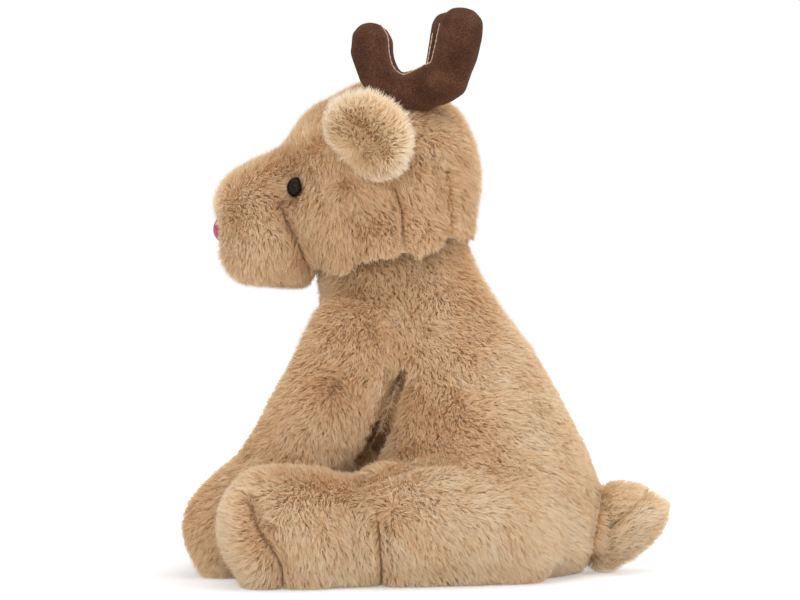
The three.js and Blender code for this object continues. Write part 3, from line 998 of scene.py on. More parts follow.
    def planted(self, random: np.random.Generator) -> tuple[Array, Array, Array]:
        """Where fibres grow on the backing.

        Args:
            random: what draws their places.

        Returns:
            The roots, the normals there, and how free of neighbours they are, from 0 to 1.
        """
        surface = self.backing
        normals = surface.normals()
        a, b, c = (surface.points[surface.faces[:, k]] for k in range(3))
        area = np.linalg.norm(np.cross(b - a, c - a), axis=1) / 2
        need = np.where(self.exposed[surface.faces].mean(1) > 0.3, 1, self.PRESSED_NEED)
        low = surface.points[surface.faces][:, :, 2].mean(1) < 2 * self.SOLE
        need = np.where(low, self.SOLE_NEED * need, need)
        density = self.pile.density * 1
        count = random.poisson(area * need * density)
        owner = np.repeat(np.arange(len(area)), count)
        u, v = random.random((2, len(owner)))
        fold = u + v > 1
        u[fold], v[fold] = 1 - u[fold], 1 - v[fold]
        share = np.stack([1 - u - v, u, v], 1)
        corner = surface.faces[owner]

        def at(values: Array) -> Array:
            """Values at the corners of faces, read at the roots."""
            return (values[corner] * (share[:, :, None] if values.ndim == 2 else share)).sum(1)

        roots = at(surface.points)
        kept = ~self.buried[corner].all(1) & self.keep(roots)
        return roots[kept], unit(at(normals))[kept], at(self.exposed)[kept]

    def grow(self) -> Fibres:
        """The pile, grown on the backing."""
        pile = self.pile
        random = np.random.default_rng(self.seed)
        roots, up, exposed = self.planted(random)
        amount = len(roots)

        def each() -> Array:
            """A normal random number for each fibre, as a column."""
            return random.standard_normal((amount, 1))

        drawn = [groove.nearness(roots) for groove in self.grooves]
        way, dark, stand = self.combed(roots, up, drawn)
        stand = stand[:, None]
        wide_noise = Lattice(30 * MM, self.seed + 1).noise(roots)
        fine_noise = Lattice(9 * MM, self.seed + 2).noise(roots)
        draws = Lattice(pile.tuft, self.seed + 3)
        middles, cells = draws.tufts(roots)
        tuft_a, tuft_b, tuft_c = (2 * draws.random(cells, k)[:, None] - 1 for k in (1, 2, 3))
        across = np.cross(up, way)
        way = unit(way + pile.tuft_turn * tuft_a * across + pile.own_turn * each() * across)
        length = pile.pressed + (pile.length - pile.pressed) * exposed
        length = self.lengthened(roots, length)
        length *= 1 + pile.uneven * tuft_b[:, 0] + pile.uneven * random.standard_normal(amount)
        length = np.clip(length, Pile.LEAST, 1.3 * pile.length)[:, None]
        spare = (1 - exposed)[:, None]
        rise = np.radians(pile.rise + pile.pressed_rise * spare + pile.own_rise * each())
        lay = pile.lay + pile.pressed_lay * spare + pile.own_lay * tuft_c
        lay = lay + pile.patch_lay * fine_noise[:, None] + pile.own_lay * each()
        rise *= 1 - 0.6 * stand
        lay = np.minimum(np.radians(lay) * (1 - 0.5 * stand), math.radians(88))
        pull = middles - roots
        pull -= dots(pull, up) * up
        mid = roots + 0.5 * length * (np.cos(rise) * up + np.sin(rise) * way) + 0.3 * pile.pull * pull
        tips = mid + 0.5 * length * (np.cos(lay) * up + np.sin(lay) * way) + 0.7 * pile.pull * pull
        tips += 0.05 * length * random.standard_normal((amount, 3))
        twist = 0.5 * each()
        side = unit(np.cross(tips - roots, up) + 1e-9)
        side = unit(side + twist * unit(np.cross(side, tips - roots)))
        halves = -0.5 * pile.width * (0.8 + 0.4 * random.random((amount, 1))) * side
        tone = 0.5 + pile.wide_tone * wide_noise + pile.patch_tone * fine_noise
        tone = tone + pile.tuft_tone * tuft_b[:, 0] + pile.own_tone * random.standard_normal(amount)
        # painted shade: whorls and grooves darken the tone, and a groove's fold goes below the low tone
        tone = np.maximum(self.toned(roots, tone - dark), PileFinish.LOW_TONE)
        for groove, (near, _) in zip(self.grooves, drawn):
            tone = tone - groove.deep * near
        for points in (mid, tips):
            points[:, 2] = np.maximum(points[:, 2], Pile.FLOOR)
        return Fibres(roots, mid, tips, halves, tone)

    def dress(self, obj: bpy.types.Object) -> None:
        """Makes a piece ride on its body, or, for a form with a bend, only bakes its place into the mesh."""
        if self.bend:
            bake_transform(obj)
        else:
            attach(obj, self.body)

    def build(self) -> None:
        """Makes the backing and the pile as pieces."""
        backing = make_object(f"{self.name}_backing", self.backing.points, self.backing.faces)
        backing.data.materials.append(BackingFinish().material())
        self.dress(backing)
        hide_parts(*self.nodes)
        fibres = self.grow()
        parts = math.ceil(len(fibres.roots) / Pile.MOST)
        middle = self.backing.points.mean(0)
        turn = np.arctan2(fibres.roots[:, 1] - middle[1], fibres.roots[:, 0] - middle[0])
        order = np.argsort(turn, kind="stable")
        for k, chosen in enumerate(np.array_split(order, parts)):
            name = f"{self.name}_pile" + (f"_{k + 1}" if parts > 1 else "")
            obj = fibres.where(chosen).build(name)
            obj.data.materials.append(self.finish.material())
            self.dress(obj)
        log.info("%s: %d fibres in %d pieces", self.name, len(fibres.roots), parts)


@dataclass
class EarForm(StuffedForm):
    """An ear, golden about its furrow and pale at the rim and behind."""

    middle: Point = (0.0, 0.0, 0.0)
    facing: Point = (0.0, 0.0, 0.0)
    root: Point = (0.0, 0.0, 0.0)
    along: Point = (0.0, 0.0, 1.0)
    across: Point = (1.0, 0.0, 0.0)
    notch: float = 11.5 * MM  # from the root, up to which the lobe is pinched
    tip: float = 40 * MM  # from the root, past which the ear is shorter than its solid

    def shape(self, neighbours: Sequence[StuffedForm], junction: Surface | None) -> None:
        """Makes the backing, pinched at the root in front, which leaves a notch beside the lower lobe."""
        super().shape(neighbours, junction)
        points = self.backing.points
        local = points - np.array(self.root) * MM
        up = local @ np.array(self.along)
        front = 1 - ease(local @ np.array(self.across), 1 * MM, 8 * MM)
        pinch = 0.8 * front * np.maximum(self.notch - up, 0) - 0.22 * np.maximum(up - self.tip, 0)
        points += pinch[:, None] * np.array(self.along)

    def from_middle(self, roots: Array) -> tuple[Array, Array]:
        """How far roots are in front of the ear's middle, and from the axis that it faces along."""
        away = roots - np.array(self.middle) * MM
        front = away @ np.array(self.facing)
        return front, np.linalg.norm(away - front[:, None] * np.array(self.facing), axis=1)

    def toned(self, roots: Array, tone: Array) -> Array:
        """Golden near the middle of the front, and pale elsewhere."""
        front, flat = self.from_middle(roots)
        pale = np.maximum(ease(flat, 14 * MM, 26 * MM), ease(-front, 0, 4 * MM))
        return 0.18 + 0.5 * tone + 0.42 * pale

    def lengthened(self, roots: Array, length: Array) -> Array:
        """Shorter at the rim and behind, where it makes a dense fringe, and in the cleft at the root."""
        flat = self.from_middle(roots)[1]
        cleft = self.grooves[-1].nearness(roots)[0]
        return length * (1 - 0.28 * ease(flat, 18 * MM, 28 * MM)) * (1 - 0.6 * cleft)


@dataclass
class HeadForm(StuffedForm):
    """The head and snout, with room for the eyes and the nose."""

    FAR: ClassVar[float] = 9.0  # what stands for the nose's distance behind it

    eyes: tuple[Point, ...] = ()
    eye_room: float = 4.8 * MM
    nose: tuple[Point, Point] = ((0, 0, 0), (0, 0, 0))
    overlap: float = 1.6 * MM  # of the pile under the nose's edge
    crown: float = 8 * MM  # how much lower the crown is beside the antlers
    cheek: float = 6 * MM  # how much wider the cheeks are over the neck

    def from_nose(self, roots: Array, less: float = 0.0) -> Array:
        """How far roots are from the nose's middle, as a share of its half size less a length."""
        middle, half = (np.array(p) for p in self.nose)
        away = ((roots - middle) / (half - less))[:, 1:]
        front = roots[:, 0] < middle[0] + 3 * half[0]
        return np.where(front, np.sqrt((away**2).sum(1)), self.FAR)

    def keep(self, roots: Array) -> Array:
        """No fibres under the eyes or the nose."""
        kept = self.from_nose(roots, self.overlap) > 1
        for eye in self.eyes:
            kept &= np.linalg.norm(roots - np.array(eye), axis=1) > self.eye_room
        return kept

    def shape(self, neighbours: Sequence[StuffedForm], junction: Surface | None) -> None:
        """Makes the backing, lower beside the antlers and with wider cheeks."""
        super().shape(neighbours, junction)
        points = self.backing.points
        side = np.abs(points[:, 1])
        beside = ease(side, 8 * MM, 34 * MM) * (1 - ease(side, 48 * MM, 60 * MM))
        points[:, 2] -= self.crown * beside * ease(points[:, 2], 250 * MM, 282 * MM)
        cheek = ease(points[:, 0], -46 * MM, -30 * MM) * (1 - ease(points[:, 0], 0, 22 * MM))
        cheek *= 1 - ease(np.abs(points[:, 2] - 196 * MM), 0, 24 * MM)
        points[:, 1] += self.cheek * cheek * np.sign(points[:, 1]) * ease(side, 15 * MM, 35 * MM)

    def toned(self, roots: Array, tone: Array) -> Array:
        """Paler on the snout."""
        return tone + 0.22 * ease(-roots[:, 0], 85 * MM, 105 * MM)

    def lengthened(self, roots: Array, length: Array) -> Array:
        """Shorter about the eyes, but not in front of them, and about the nose, with a fringe over it."""
        fringe = ease(-roots[:, 0], 118 * MM, 132 * MM) * ease(roots[:, 2], 196 * MM, 214 * MM)
        length = length * (1 + 0.45 * fringe)
        for eye in self.eyes:
            away = roots - np.array(eye)
            far = np.linalg.norm(away, axis=1)
            least = 0.45 + 0.45 * ease(-away[:, 0], 1 * MM, 4 * MM)
            length = length * (least + (1 - least) * ease(far, 6 * MM, 13 * MM))
        return length * (0.85 + 0.15 * ease(self.from_nose(roots), 1.1, 2.0))


CROTCH = Shift(
    (
        (-25, 310, 0), (-20, 308, -3.4), (-17, 305, -3.4), (-12.7, 301, -0.8), (-9, 300.3, 1),
        (-4, 301.2, 3), (0, 303.3, 3.4), (4, 309, 2), (12, 325, 0),
    ),
    15,
)
UNDER_TINE = Shift(
    (
        (-22, 290, 0), (-13, 284, -6), (-9, 283, -5), (-3, 281, -1.5), (1, 279, 0),
        (12, 285, -2.4), (17, 288, -3), (23, 291, -2), (28, 297, 0),
    ),
    12,
)


@dataclass
class Antler:
    """A stuffed antler of two suede panels sewn round the edge."""

    THREAD_SIDES: ClassVar[int] = 6

    side: Side
    angle: float  # degrees that its front tine turns in
    setback: float = 0.0  # millimetres that it is sewn on further back
    rise: float = 0.0  # and higher
    foot: Point = (-14.728, 27.0, 258.0)
    voxel: float = 1.1 * MM
    rounds: int = 130
    sunk: float = 11.0 * MM  # how far its foot goes into the head's pile
    seam_width: float = 1.1 * MM
    seam_depth: float = 0.7 * MM
    thread: float = 0.45 * MM
    inner_middle: tuple[float, float] = (-6.5, 320.0)  # of the circle whose seam shows its thread
    inner_reach: float = 23.0
    inner_top: float = 331.0
    edges: tuple[Shift, ...] = (CROTCH, UNDER_TINE)

    @property
    def name(self) -> str:
        """The antler's node and body."""
        return f"antler_{self.side.name.lower()}"

    def unturned(self, points: Array) -> Array:
        """Points in millimetres, with the antler turned back so that it lies along X on the left."""
        foot = np.array(self.foot)
        placed = np.array([self.setback, 0, self.rise])
        local = (points / MM - placed) * np.array([1, self.side.value, 1]) - foot
        turn = math.radians(self.angle)
        x = local[:, 0] * math.cos(turn) + local[:, 1] * math.sin(turn)
        y = -local[:, 0] * math.sin(turn) + local[:, 1] * math.cos(turn)
        return np.stack([x, y, local[:, 2]], 1) + foot

    def across(self, points: Array) -> Array:
        """How far points are from the middle of the antler's thickness, in metres."""
        local = self.unturned(points)
        middle = np.interp(local[:, 2], [258, 288, 304, 340], [27, 31, 33, 34])
        return (local[:, 1] - middle) * MM

    def loop(self, surface: Surface) -> Array:
        """The seam: where the middle of the thickness cuts the surface, in order."""
        side = self.across(surface.points)
        crossing: dict[tuple[int, int], list[tuple[int, int]]] = {}
        signs = side[surface.faces] > 0
        for face in surface.faces[signs.any(1) & ~signs.all(1)].tolist():
            cut = []
            for p, q in ((face[0], face[1]), (face[1], face[2]), (face[2], face[0])):
                if (side[p] > 0) != (side[q] > 0):
                    cut.append((min(p, q), max(p, q)))
            crossing.setdefault(cut[0], []).append(cut[1])
            crossing.setdefault(cut[1], []).append(cut[0])
        best: list[tuple[int, int]] = []
        left = set(crossing)
        while left:
            now = min(left)
            path = []
            while now is not None:
                path.append(now)
                left.discard(now)
                now = next((n for n in crossing[now] if n in left), None)
            best = max(best, path, key=len)
        ends = np.array(best)
        a, b = side[ends[:, 0]], side[ends[:, 1]]
        share = (a / (a - b))[:, None]
        return surface.points[ends[:, 0]] * (1 - share) + surface.points[ends[:, 1]] * share

    def build(self) -> None:
        """Makes the antler and the thread of its inner seam."""
        surface = Surface.round_nodes([self.name], self.voxel, 2).faired(self.rounds)
        local = self.unturned(surface.points) * MM
        foot = (1 - ease(local[:, 2], 0.282, 0.300)) * (1 - ease(local[:, 0], -0.002, 0.012))
        surface.points[:, 2] -= self.sunk * foot
        local = self.unturned(surface.points)
        surface.points[:, 2] += sum(edge.moves(local) for edge in self.edges)
        seam = self.loop(surface)
        near = np.exp(-((self.across(surface.points) / self.seam_width) ** 2))
        puff = 0.35 * MM * Lattice(16 * MM, 3).noise(surface.points)
        points = surface.points + (puff - self.seam_depth * near)[:, None] * surface.normals()
        obj = make_object(f"{self.name}_suede", points, surface.faces)
        settle(obj, SuedeFinish(), self.name)
        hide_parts(self.name)
        local = self.unturned(seam)[:, [0, 2]]
        inner = np.linalg.norm(local - np.array(self.inner_middle), axis=1) < self.inner_reach
        inner &= local[:, 1] < self.inner_top
        first = int(np.argmin(inner)) if not inner.all() else 0
        order = (np.arange(len(seam)) + first) % len(seam)
        self.stitch(seam[order][inner[order]])

    def stitch(self, run: Array) -> None:
        """A thread along the inner seam, a little wavy.

        Args:
            run: the seam's points in order.
        """
        step = np.concatenate([[0], np.cumsum(np.linalg.norm(np.diff(run, axis=0), axis=1))])
        count = int(step[-1] / (0.7 * MM))
        even = np.linspace(0, step[-1], count)
        path = np.stack([np.interp(even, step, run[:, k]) for k in range(3)], 1)
        for _ in range(3):
            path[1:-1] = (path[:-2] + 2 * path[1:-1] + path[2:]) / 4
        along = unit(np.gradient(path, axis=0))
        turn = math.radians(self.angle)
        sideways = np.array([-math.sin(turn), self.side.value * math.cos(turn), 0])
        up = unit(np.cross(along, np.broadcast_to(sideways, along.shape)))
        ring = np.linspace(0, 2 * math.pi, self.THREAD_SIDES + 1)[:-1]
        beat = 1 + 0.25 * np.sin(even / (0.55 * MM))[:, None, None]
        circle = np.cos(ring)[None, :, None] * sideways + np.sin(ring)[None, :, None] * up[:, None, :]
        shells = path[:, None, :] + self.thread * beat * circle
        shells[0], shells[-1] = path[0], path[-1]
        obj = make_object(f"{self.name}_seam", shells.reshape(-1, 3), ring_faces(count, self.THREAD_SIDES))
        settle(obj, ThreadFinish("seam_thread", (0.80, 0.52, 0.36), 0.1), self.name)


@dataclass
class Nose:
    """An oval of satin stitches, padded."""

    pitch: float = 0.95 * MM
    relief: float = 0.22 * MM
    rings: int = 40
    sides: int = 220

    def build(self) -> None:
        """Makes the pad with its rows of stitches."""
        low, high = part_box("nose")
        middle = np.array((low + high) / 2)
        half = np.array((high - low) / 2)
        across = np.linspace(0, math.pi, self.rings)[:, None]
        about = np.linspace(0, 2 * math.pi, self.sides, endpoint=False)[None, :]
        x = -np.cos(across) * np.ones_like(about)
        y = np.sin(across) * np.cos(about)
        z = np.sin(across) * np.sin(about)
        way = np.stack([x, y, z], 2).reshape(-1, 3)
        rows = np.abs(np.sin(math.pi * way[:, 1] * half[1] / self.pitch)) ** 0.6
        points = middle + way * half
        points += unit(way / half) * (self.relief * (rows - 1))[:, None]
        obj = make_object("nose_stitches", points, ring_faces(self.rings, self.sides))
        settle(obj, ThreadFinish("satin_stitches", (0.50, 0.018, 0.10), 0.0), "head")
        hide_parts("nose")


@dataclass
class Eye:
    """A domed plastic eye on its stem."""

    side: Side
    aim: Point = (-0.8502, 0.5027, 0.157)
    radius: float = 6.0 * MM
    dome: float = 5.0 * MM
    stem: float = 1.8 * MM
    rim: float = 0.3 * MM  # that the back is narrower by
    edge: float = 0.25 * MM  # that the back is behind the dome by
    bevel: float = 0.4 * MM  # at the stem's end
    rings: int = 24
    sides: int = 48

    @property
    def node(self) -> str:
        """The eye's node."""
        return f"eye_{self.side.name.lower()}"

    def axis(self) -> Array:
        """The way that the eye looks."""
        return unit(np.array(self.aim) * np.array([1, self.side.value, 1]))

    def ends(self) -> tuple[Array, Array]:
        """The middle of the dome's flat back, and the stem's end."""
        axis = self.axis()
        points = Surface.of_object(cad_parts[self.node]).points
        far = points @ axis
        back = points[far.argmax()] - self.dome * axis
        return back, back + (far.min() - back @ axis) * axis

    def build(self) -> None:
        """Makes the dome, its flat back and the stem as one turned piece."""
        axis = self.axis()
        back, end = self.ends()
        depth = np.linalg.norm(back - end)
        turn = np.linspace(0, math.pi / 2, self.rings)
        profile = [(self.radius * math.sin(t), self.dome * math.cos(t)) for t in turn]
        profile += [(self.radius - self.rim, -self.edge), (self.stem, -self.edge)]
        profile += [(self.stem, -depth + self.bevel), (self.stem - self.bevel, -depth), (0.0, -depth)]
        first = unit(np.cross(axis, [0, 0, 1.0]))
        second = np.cross(axis, first)
        ring = np.linspace(0, 2 * math.pi, self.sides, endpoint=False)
        circle = np.cos(ring)[:, None] * first + np.sin(ring)[:, None] * second
        points = np.concatenate([back + r * circle + h * axis for r, h in profile])
        obj = make_object(f"{self.node}_dome", points, ring_faces(len(profile), self.sides)[:, ::-1])
        obj.data.validate()
        settle(obj, EyeFinish(), "head")
        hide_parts(self.node)


@dataclass
class HiddenPieces:
    """The pellet pouch and the washers of the eyes, which stay as the frame has them."""

    pouch: PlainFinish = PlainFinish("pouch_weave", (0.75, 0.68, 0.56), 1.0 * MM, 0.9)
    washer: PlainFinish = PlainFinish("washer_moulded", (0.7, 0.7, 0.7), 0.8 * MM, 0.5)

    def build(self) -> None:
        """Gives each its finish."""
        for name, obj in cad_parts.items():
            if name == "bean_pouch":
                finish, slot = self.pouch, Slot.POUCH
            elif "washer" in name:
                finish, slot = self.washer, Slot.WASHER
            else:
                continue
            obj.data.materials.clear()
            obj.data.materials.append(finish.material())


def sewn_high(points: Array) -> Array:
    """How far points belong to the shoulders' junction."""
    return ease(points[:, 2], 108 * MM, 134 * MM)


def sewn_back(points: Array) -> Array:
    """How far points belong to the hips' junction."""
    return ease(points[:, 0], 5 * MM, 40 * MM)


def sewn_body(points: Array) -> Array:
    """How far points of the body belong to one of its junctions."""
    return np.maximum(sewn_high(points), sewn_back(points))


def sewn_tail(points: Array) -> Array:
    """How far points belong to the tail's junction."""
    return 1 - ease(points[:, 0], 104 * MM, 116 * MM)


@dataclass
class Deer:
    """The whole toy, whose forms are shaped against each other."""

    seat: float = 11 * MM  # how far the body and the hips spread behind at the floor
    forms: dict[str, StuffedForm] = field(default_factory=dict)

    def body(self) -> StuffedForm:
        """The body, with folds at the armpits and at the rump."""
        return StuffedForm(
            name="body",
            body="body",
            nodes=("body_cover", "body_filling"),
            guides=both(
                guides(
                    (-60, -25, 190, -0.2, 0, -1), (-66, -5, 130, 0, -0.1, -1), (0, -45, 190, 0.35, 0, -1),
                    (35, -30, 190, 0.6, 0, -0.9), (40, -58, 130, 0.55, 0, -0.8),
                    (72, -40, 120, 0.6, 0, -0.9), (0, -65, 110, 0.3, 0, -0.9),
                    (60, -68, 70, 0.75, 0, -0.6), (100, -20, 60, 0.3, 0, -0.9),
                    (20, -70, 70, 0.6, 0, -0.8), (80, -55, 25, 0.8, 0, -0.5),
                )
            ),
            whorls=both(whorls((22, -64, 104, 26, 0.14), (2, -56, 150, 16, 0.06))),
            grooves=both(
                (
                    Groove(((-17, -55, 117), (-24, -55, 96), (-32, -55, 81), (-40, -55, 66)), 11, 9.0, True),
                    Groove(((-28, -55, 88), (-33, -55, 78), (-40, -55, 66)), 12, 1.0, True, 0.2),
                    Groove(((-14, -55, 124), (-20, -55, 108), (-28, -55, 88)), 5, 0.5, True, 0.1),
                    Groove(((108, -10, 56), (105.5, -10, 45), (95, -10, 9)), 6, 1.5, True),
                )
            ),
            joined=sewn_body,
            seat=self.seat,
            # painted light, paler towards the back
            behind=0.3,
            seed=11,
        )

    def head(self) -> HeadForm:
        """The head and snout, whose forehead and lower edge are shifted."""
        forehead = (
            (-134, 236, 0), (-129, 240, -2), (-120, 246, -3.6), (-103, 256, -2.7), (-90, 266, -4),
            (-78, 277, -5), (-64, 292, -7), (-50, 300, -5), (-38, 304, 0),
        )
        lower_edge = (
            (-134, 192, 0), (-127, 186, -5), (-118, 178, -5), (-107, 174, -2.5), (-95, 173, -0.5),
            (-76, 173, -1), (-70, 174, 2), (-65, 175, 6), (-57, 176, 1), (-41, 180, -1), (-33, 183, -4),
            (-14, 196, -8), (12, 198, -5), (25, 205, -7), (35, 215, -4), (45, 225, 0),
        )
        head_seam = ((-20, -61, 234), (-15.6, -62, 222), (-14, -60, 205), (-14, -55, 188))
        snout_seam = ((-86, -42, 222), (-83, -44, 213), (-75, -46, 196), (-67, -44, 178))
        low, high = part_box("nose")
        return HeadForm(
            name="head",
            body="head",
            nodes=("head_cover", "snout_cover", "head_filling"),
            guides=both(
                guides(
                    (-134, -10, 232, 0.2, -0.1, 1), (-110, -10, 255, 1, 0, 0.2),
                    (-120, -38, 228, 0.9, 0, -0.15), (-105, -46, 216, 0.8, 0, -0.35),
                    (-88, -44, 240, 0.9, 0, -0.1), (-110, -44, 190, -0.5, 0, -0.85),
                    (-92, -44, 190, -0.2, 0, -1), (-130, -10, 190, 0, -0.2, -1),
                    (-75, -40, 262, 0.5, 0, 0.4), (-62, -50, 220, -0.25, 0, -0.95),
                    (-45, -60, 215, 0.05, 0, -1), (-20, -62, 225, 0.5, 0, -0.85),
                    (-55, -58, 245, 0.5, 0, -0.8), (-30, -30, 298, 1, 0, 0), (10, -58, 240, 0.35, 0, -1),
                    (30, -20, 240, 0.1, 0, -1), (15, -25, 290, 0.9, 0, -0.6), (0, -58, 205, 0.3, 0, -1),
                )
            ),
            whorls=both(
                whorls(
                    (-93, -44, 207, 12, 0.12),
                    (-50, -58, 232, 13, 0.08),
                    (-128, -6, 232, 24, -0.1),
                    (-126, -6, 190, 20, -0.05),
                )
            ),
            grooves=both(
                (
                    Groove(head_seam, 5, 3.2, True),
                    Groove(((10, -58, 242), (12, -58, 232), (13, -56, 203)), 5, 2.0, True),
                    Groove(snout_seam, 9, 4.5, True, 0.04),
                    Groove(((-62, -30, 277), (-78, -34, 262), (-90, -36, 246)), 4, 1.0),
                )
            ),
            shifts=(Shift(forehead, 22), Shift(lower_edge, 28)),
            eyes=tuple(tuple(Eye(side).ends()[0]) for side in Side),
            nose=(tuple((low + high) / 2), tuple((high - low) / 2)),
            seed=21,
        )

    def tail(self) -> StuffedForm:
        """The tail, with a crease across it and one at the rump."""
        return StuffedForm(
            name="tail",
            body="tail",
            nodes=("tail_cover", "tail_filling"),
            guides=both(guides((100, -15, 40, 1, 0, 0.2), (140, -10, 40, 1, 0, 0.3))),
            grooves=(
                Groove(((137, -10, 50), (113, -10, 31), (102, -10, 20)), 6, 4.5, True, 0.06),
                Groove(((108, -10, 56), (105.5, -10, 45), (95, -10, 9)), 6, 2.5, True, 0.06),
            ),
            pile=Pile(lay=55.0, length=8.4 * MM, pull=0.3),
            finish=EAR_PILE,
            depth=5.0 * MM,
            fill=0.6,
            joined=sewn_tail,
            bend=("body", (88, 0, 28), (114, 0, 33)),
            seed=31,
        )

    def foreleg(self, side: Side) -> StuffedForm:
        """The foreleg of a side."""
        name = side.name.lower()
        return StuffedForm(
            name=f"foreleg_{name}",
            body=f"foreleg_{name}",
            nodes=(f"foreleg_cover_{name}", f"foreleg_filling_{name}"),
            guides=one(
                side,
                guides(
                    (-45, -40, 160, -0.3, 0, -1), (-60, -60, 120, -0.4, 0, -0.9),
                    (-85, -50, 85, -0.6, 0, -0.8), (-55, -55, 75, 0, 0, -1),
                    (-110, -40, 45, -0.7, 0, -0.6), (-140, -30, 30, -0.5, 0, -0.8),
                    (-120, -45, 25, -0.6, -0.1, -0.5),
                ),
            ),
            whorls=one(
                side,
                whorls((-57, -62, 110, 27, 0.22), (-72, -60, 90, 14, 0.12), (-30, -55, 148, 12, 0.08)),
            ),
            joined=sewn_high,
            bend=("body", *on_side(side, (-35, -30, 168), (-55, -38, 110))),
            seed=41 + side.value,
        )

    def hindleg(self, side: Side) -> StuffedForm:
        """The hind leg of a side with its foot, creased at the sole, the ankle and the thigh."""
        name = side.name.lower()
        sole_seam = ((-101, -105, 50), (-96, -107, 36), (-88, -108, 24), (-83, -106, 15), (-83, -106, 3))
        thigh = ((-58, 62, 0), (-50, 64, 3), (-42, 65, 5.5), (-20, 69, 5.5), (0, 73, 4), (20, 77, 0))
        ankle = ((-60, 12, 0), (-52, 12, -5), (-45, 13, -9), (-38, 12, -5), (-30, 12, 0))
        return StuffedForm(
            name=f"hindleg_{name}",
            body=f"hindleg_{name}",
            nodes=(f"hindleg_cover_{name}", f"hindleg_filling_{name}", f"foot_cover_{name}", f"sole_{name}"),
            guides=one(
                side,
                guides(
                    (60, -80, 50, 0.8, 0, -0.5), (20, -92, 40, 0.75, 0, -0.6),
                    (20, -70, 70, 0.7, -0.4, -0.2), (-15, -98, 20, 0.6, 0, -0.8),
                    (-45, -100, 30, 0.3, 0, -0.9), (-45, -85, 66, -0.6, -0.5, 0.1),
                    (-70, -107, 40, 0.2, 0, -0.9), (-70, -107, 15, 0.4, 0, -0.8),
                    (-80, -100, 64, -0.6, -0.3, 0.3), (-105, -105, 40, -0.8, 0, 0.1),
                    (-105, -105, 15, -0.7, 0, -0.5), (-122, -85, 35, -0.2, 0, 0.2),
                ),
            ),
            whorls=one(side, whorls((-20, -94, 45, 17, 0.18), (-88, -108, 36, 13, 0.14))),
            grooves=one(
                side,
                (
                    Groove(sole_seam, 12, 4.2, True, 0.04),
                    Groove(((-28, -90, 40), (-27, -97, 24), (-26, -98, 3)), 7, 3.6, True, 0.04),
                    Groove(((15, -66, 75), (-10, -76, 69), (-38, -84, 60)), 7, 4.0, True, 0.04),
                ),
            ),
            shifts=(Shift(thigh, 24), Shift(ankle, 17)),
            seat=self.seat,
            tone=0.2,
            joined=sewn_back,
            bend=("body", *on_side(side, (60, -40, 36), (5, -62, 37))),
            seed=51 + side.value,
        )

    def ear(self, side: Side) -> EarForm:
        """The ear of a side, with a furrow across it and a cleft at its root."""
        name, s = side.name.lower(), -side.value
        root = np.array([-50.6, -55 * s, 243.5])
        along = unit(np.array([35, -24 * s, 38.0]))
        middle = root + 28.5 * along
        across = np.array([0.7306, -0.0158 * s, -0.6826])
        facing = np.array([-0.298, -0.906 * s, -0.298])
        spots = [
            (middle + 14 * along, along),
            (middle - 14 * along, -along),
            (middle + 24 * across, across),
            (middle - 24 * across, -across),
            (middle + 14 * along - 12 * facing, along),
            (middle - 14 * along - 12 * facing, along),
        ]
        front = 8.0 * facing
        return EarForm(
            name=f"ear_{name}",
            body=f"ear_{name}",
            nodes=(f"ear_{name}", f"ear_lining_{name}"),
            guides=tuple(Guide(tuple(place), tuple(way)) for place, way in spots),
            grooves=(
                Groove(tuple(tuple(middle + front + t * across) for t in (-12, 0, 14)), 7, 2.6),
                Groove(tuple(tuple(root + front + 4 * across + t * along) for t in (1, 8, 15)), 5, 6.0),
            ),
            pile=Pile(length=8.6 * MM, pressed=5 * MM, lay=46.0, swirl=0.3, density=3.4e6, pull=0.3),
            finish=EAR_PILE,
            voxel=2 * MM,
            depth=4.6 * MM,
            fill=0.4,
            bend=("head", tuple(root), tuple(root + 13 * along)),
            middle=tuple(middle),
            facing=tuple(facing),
            root=tuple(root),
            along=tuple(along),
            across=tuple(across),
            seed=61 + side.value,
        )

    def lay_out(self) -> None:
        """Lists the forms."""
        listed = [self.body(), self.head()]
        for side in Side:
            listed += [self.foreleg(side), self.hindleg(side), self.ear(side)]
        listed.append(self.tail())
        self.forms = {form.name: form for form in listed}

    def touching(self) -> dict[str, list[str]]:
        """Which forms may touch each."""
        found = {"body": ["head", "tail"], "head": ["body"], "tail": ["body"]}
        for name, other in (("left", "right"), ("right", "left")):
            found["body"] += [f"foreleg_{name}", f"hindleg_{name}"]
            found["head"].append(f"ear_{name}")
            found[f"ear_{name}"] = ["head"]
            found[f"foreleg_{name}"] = ["body", f"hindleg_{name}", f"foreleg_{other}"]
            found[f"hindleg_{name}"] = ["body", f"foreleg_{name}"]
        return found

    def junction(self, names: Iterable[str]) -> Surface:
        """One smooth surface over several forms, as where limbs are sewn into the body."""
        nodes = [node for name in names for node in self.forms[name].nodes]
        return Surface.round_nodes(nodes, 3.5 * MM, 3).faired(45)

    def build(self) -> None:
        """Shapes and builds every form."""
        self.lay_out()
        for form in self.forms.values():
            form.measure()
        limbs = [name for name in self.forms if "leg" in name]
        touching = self.touching()
        for name, form in self.forms.items():
            joint = None
            if name == "body":
                joint = self.junction(["body", "tail", *limbs])
            elif name == "tail" or name in limbs:
                joint = self.junction(["body", name])
            form.shape([self.forms[n] for n in touching[name]], joint)
        for form in self.forms.values():
            form.build()


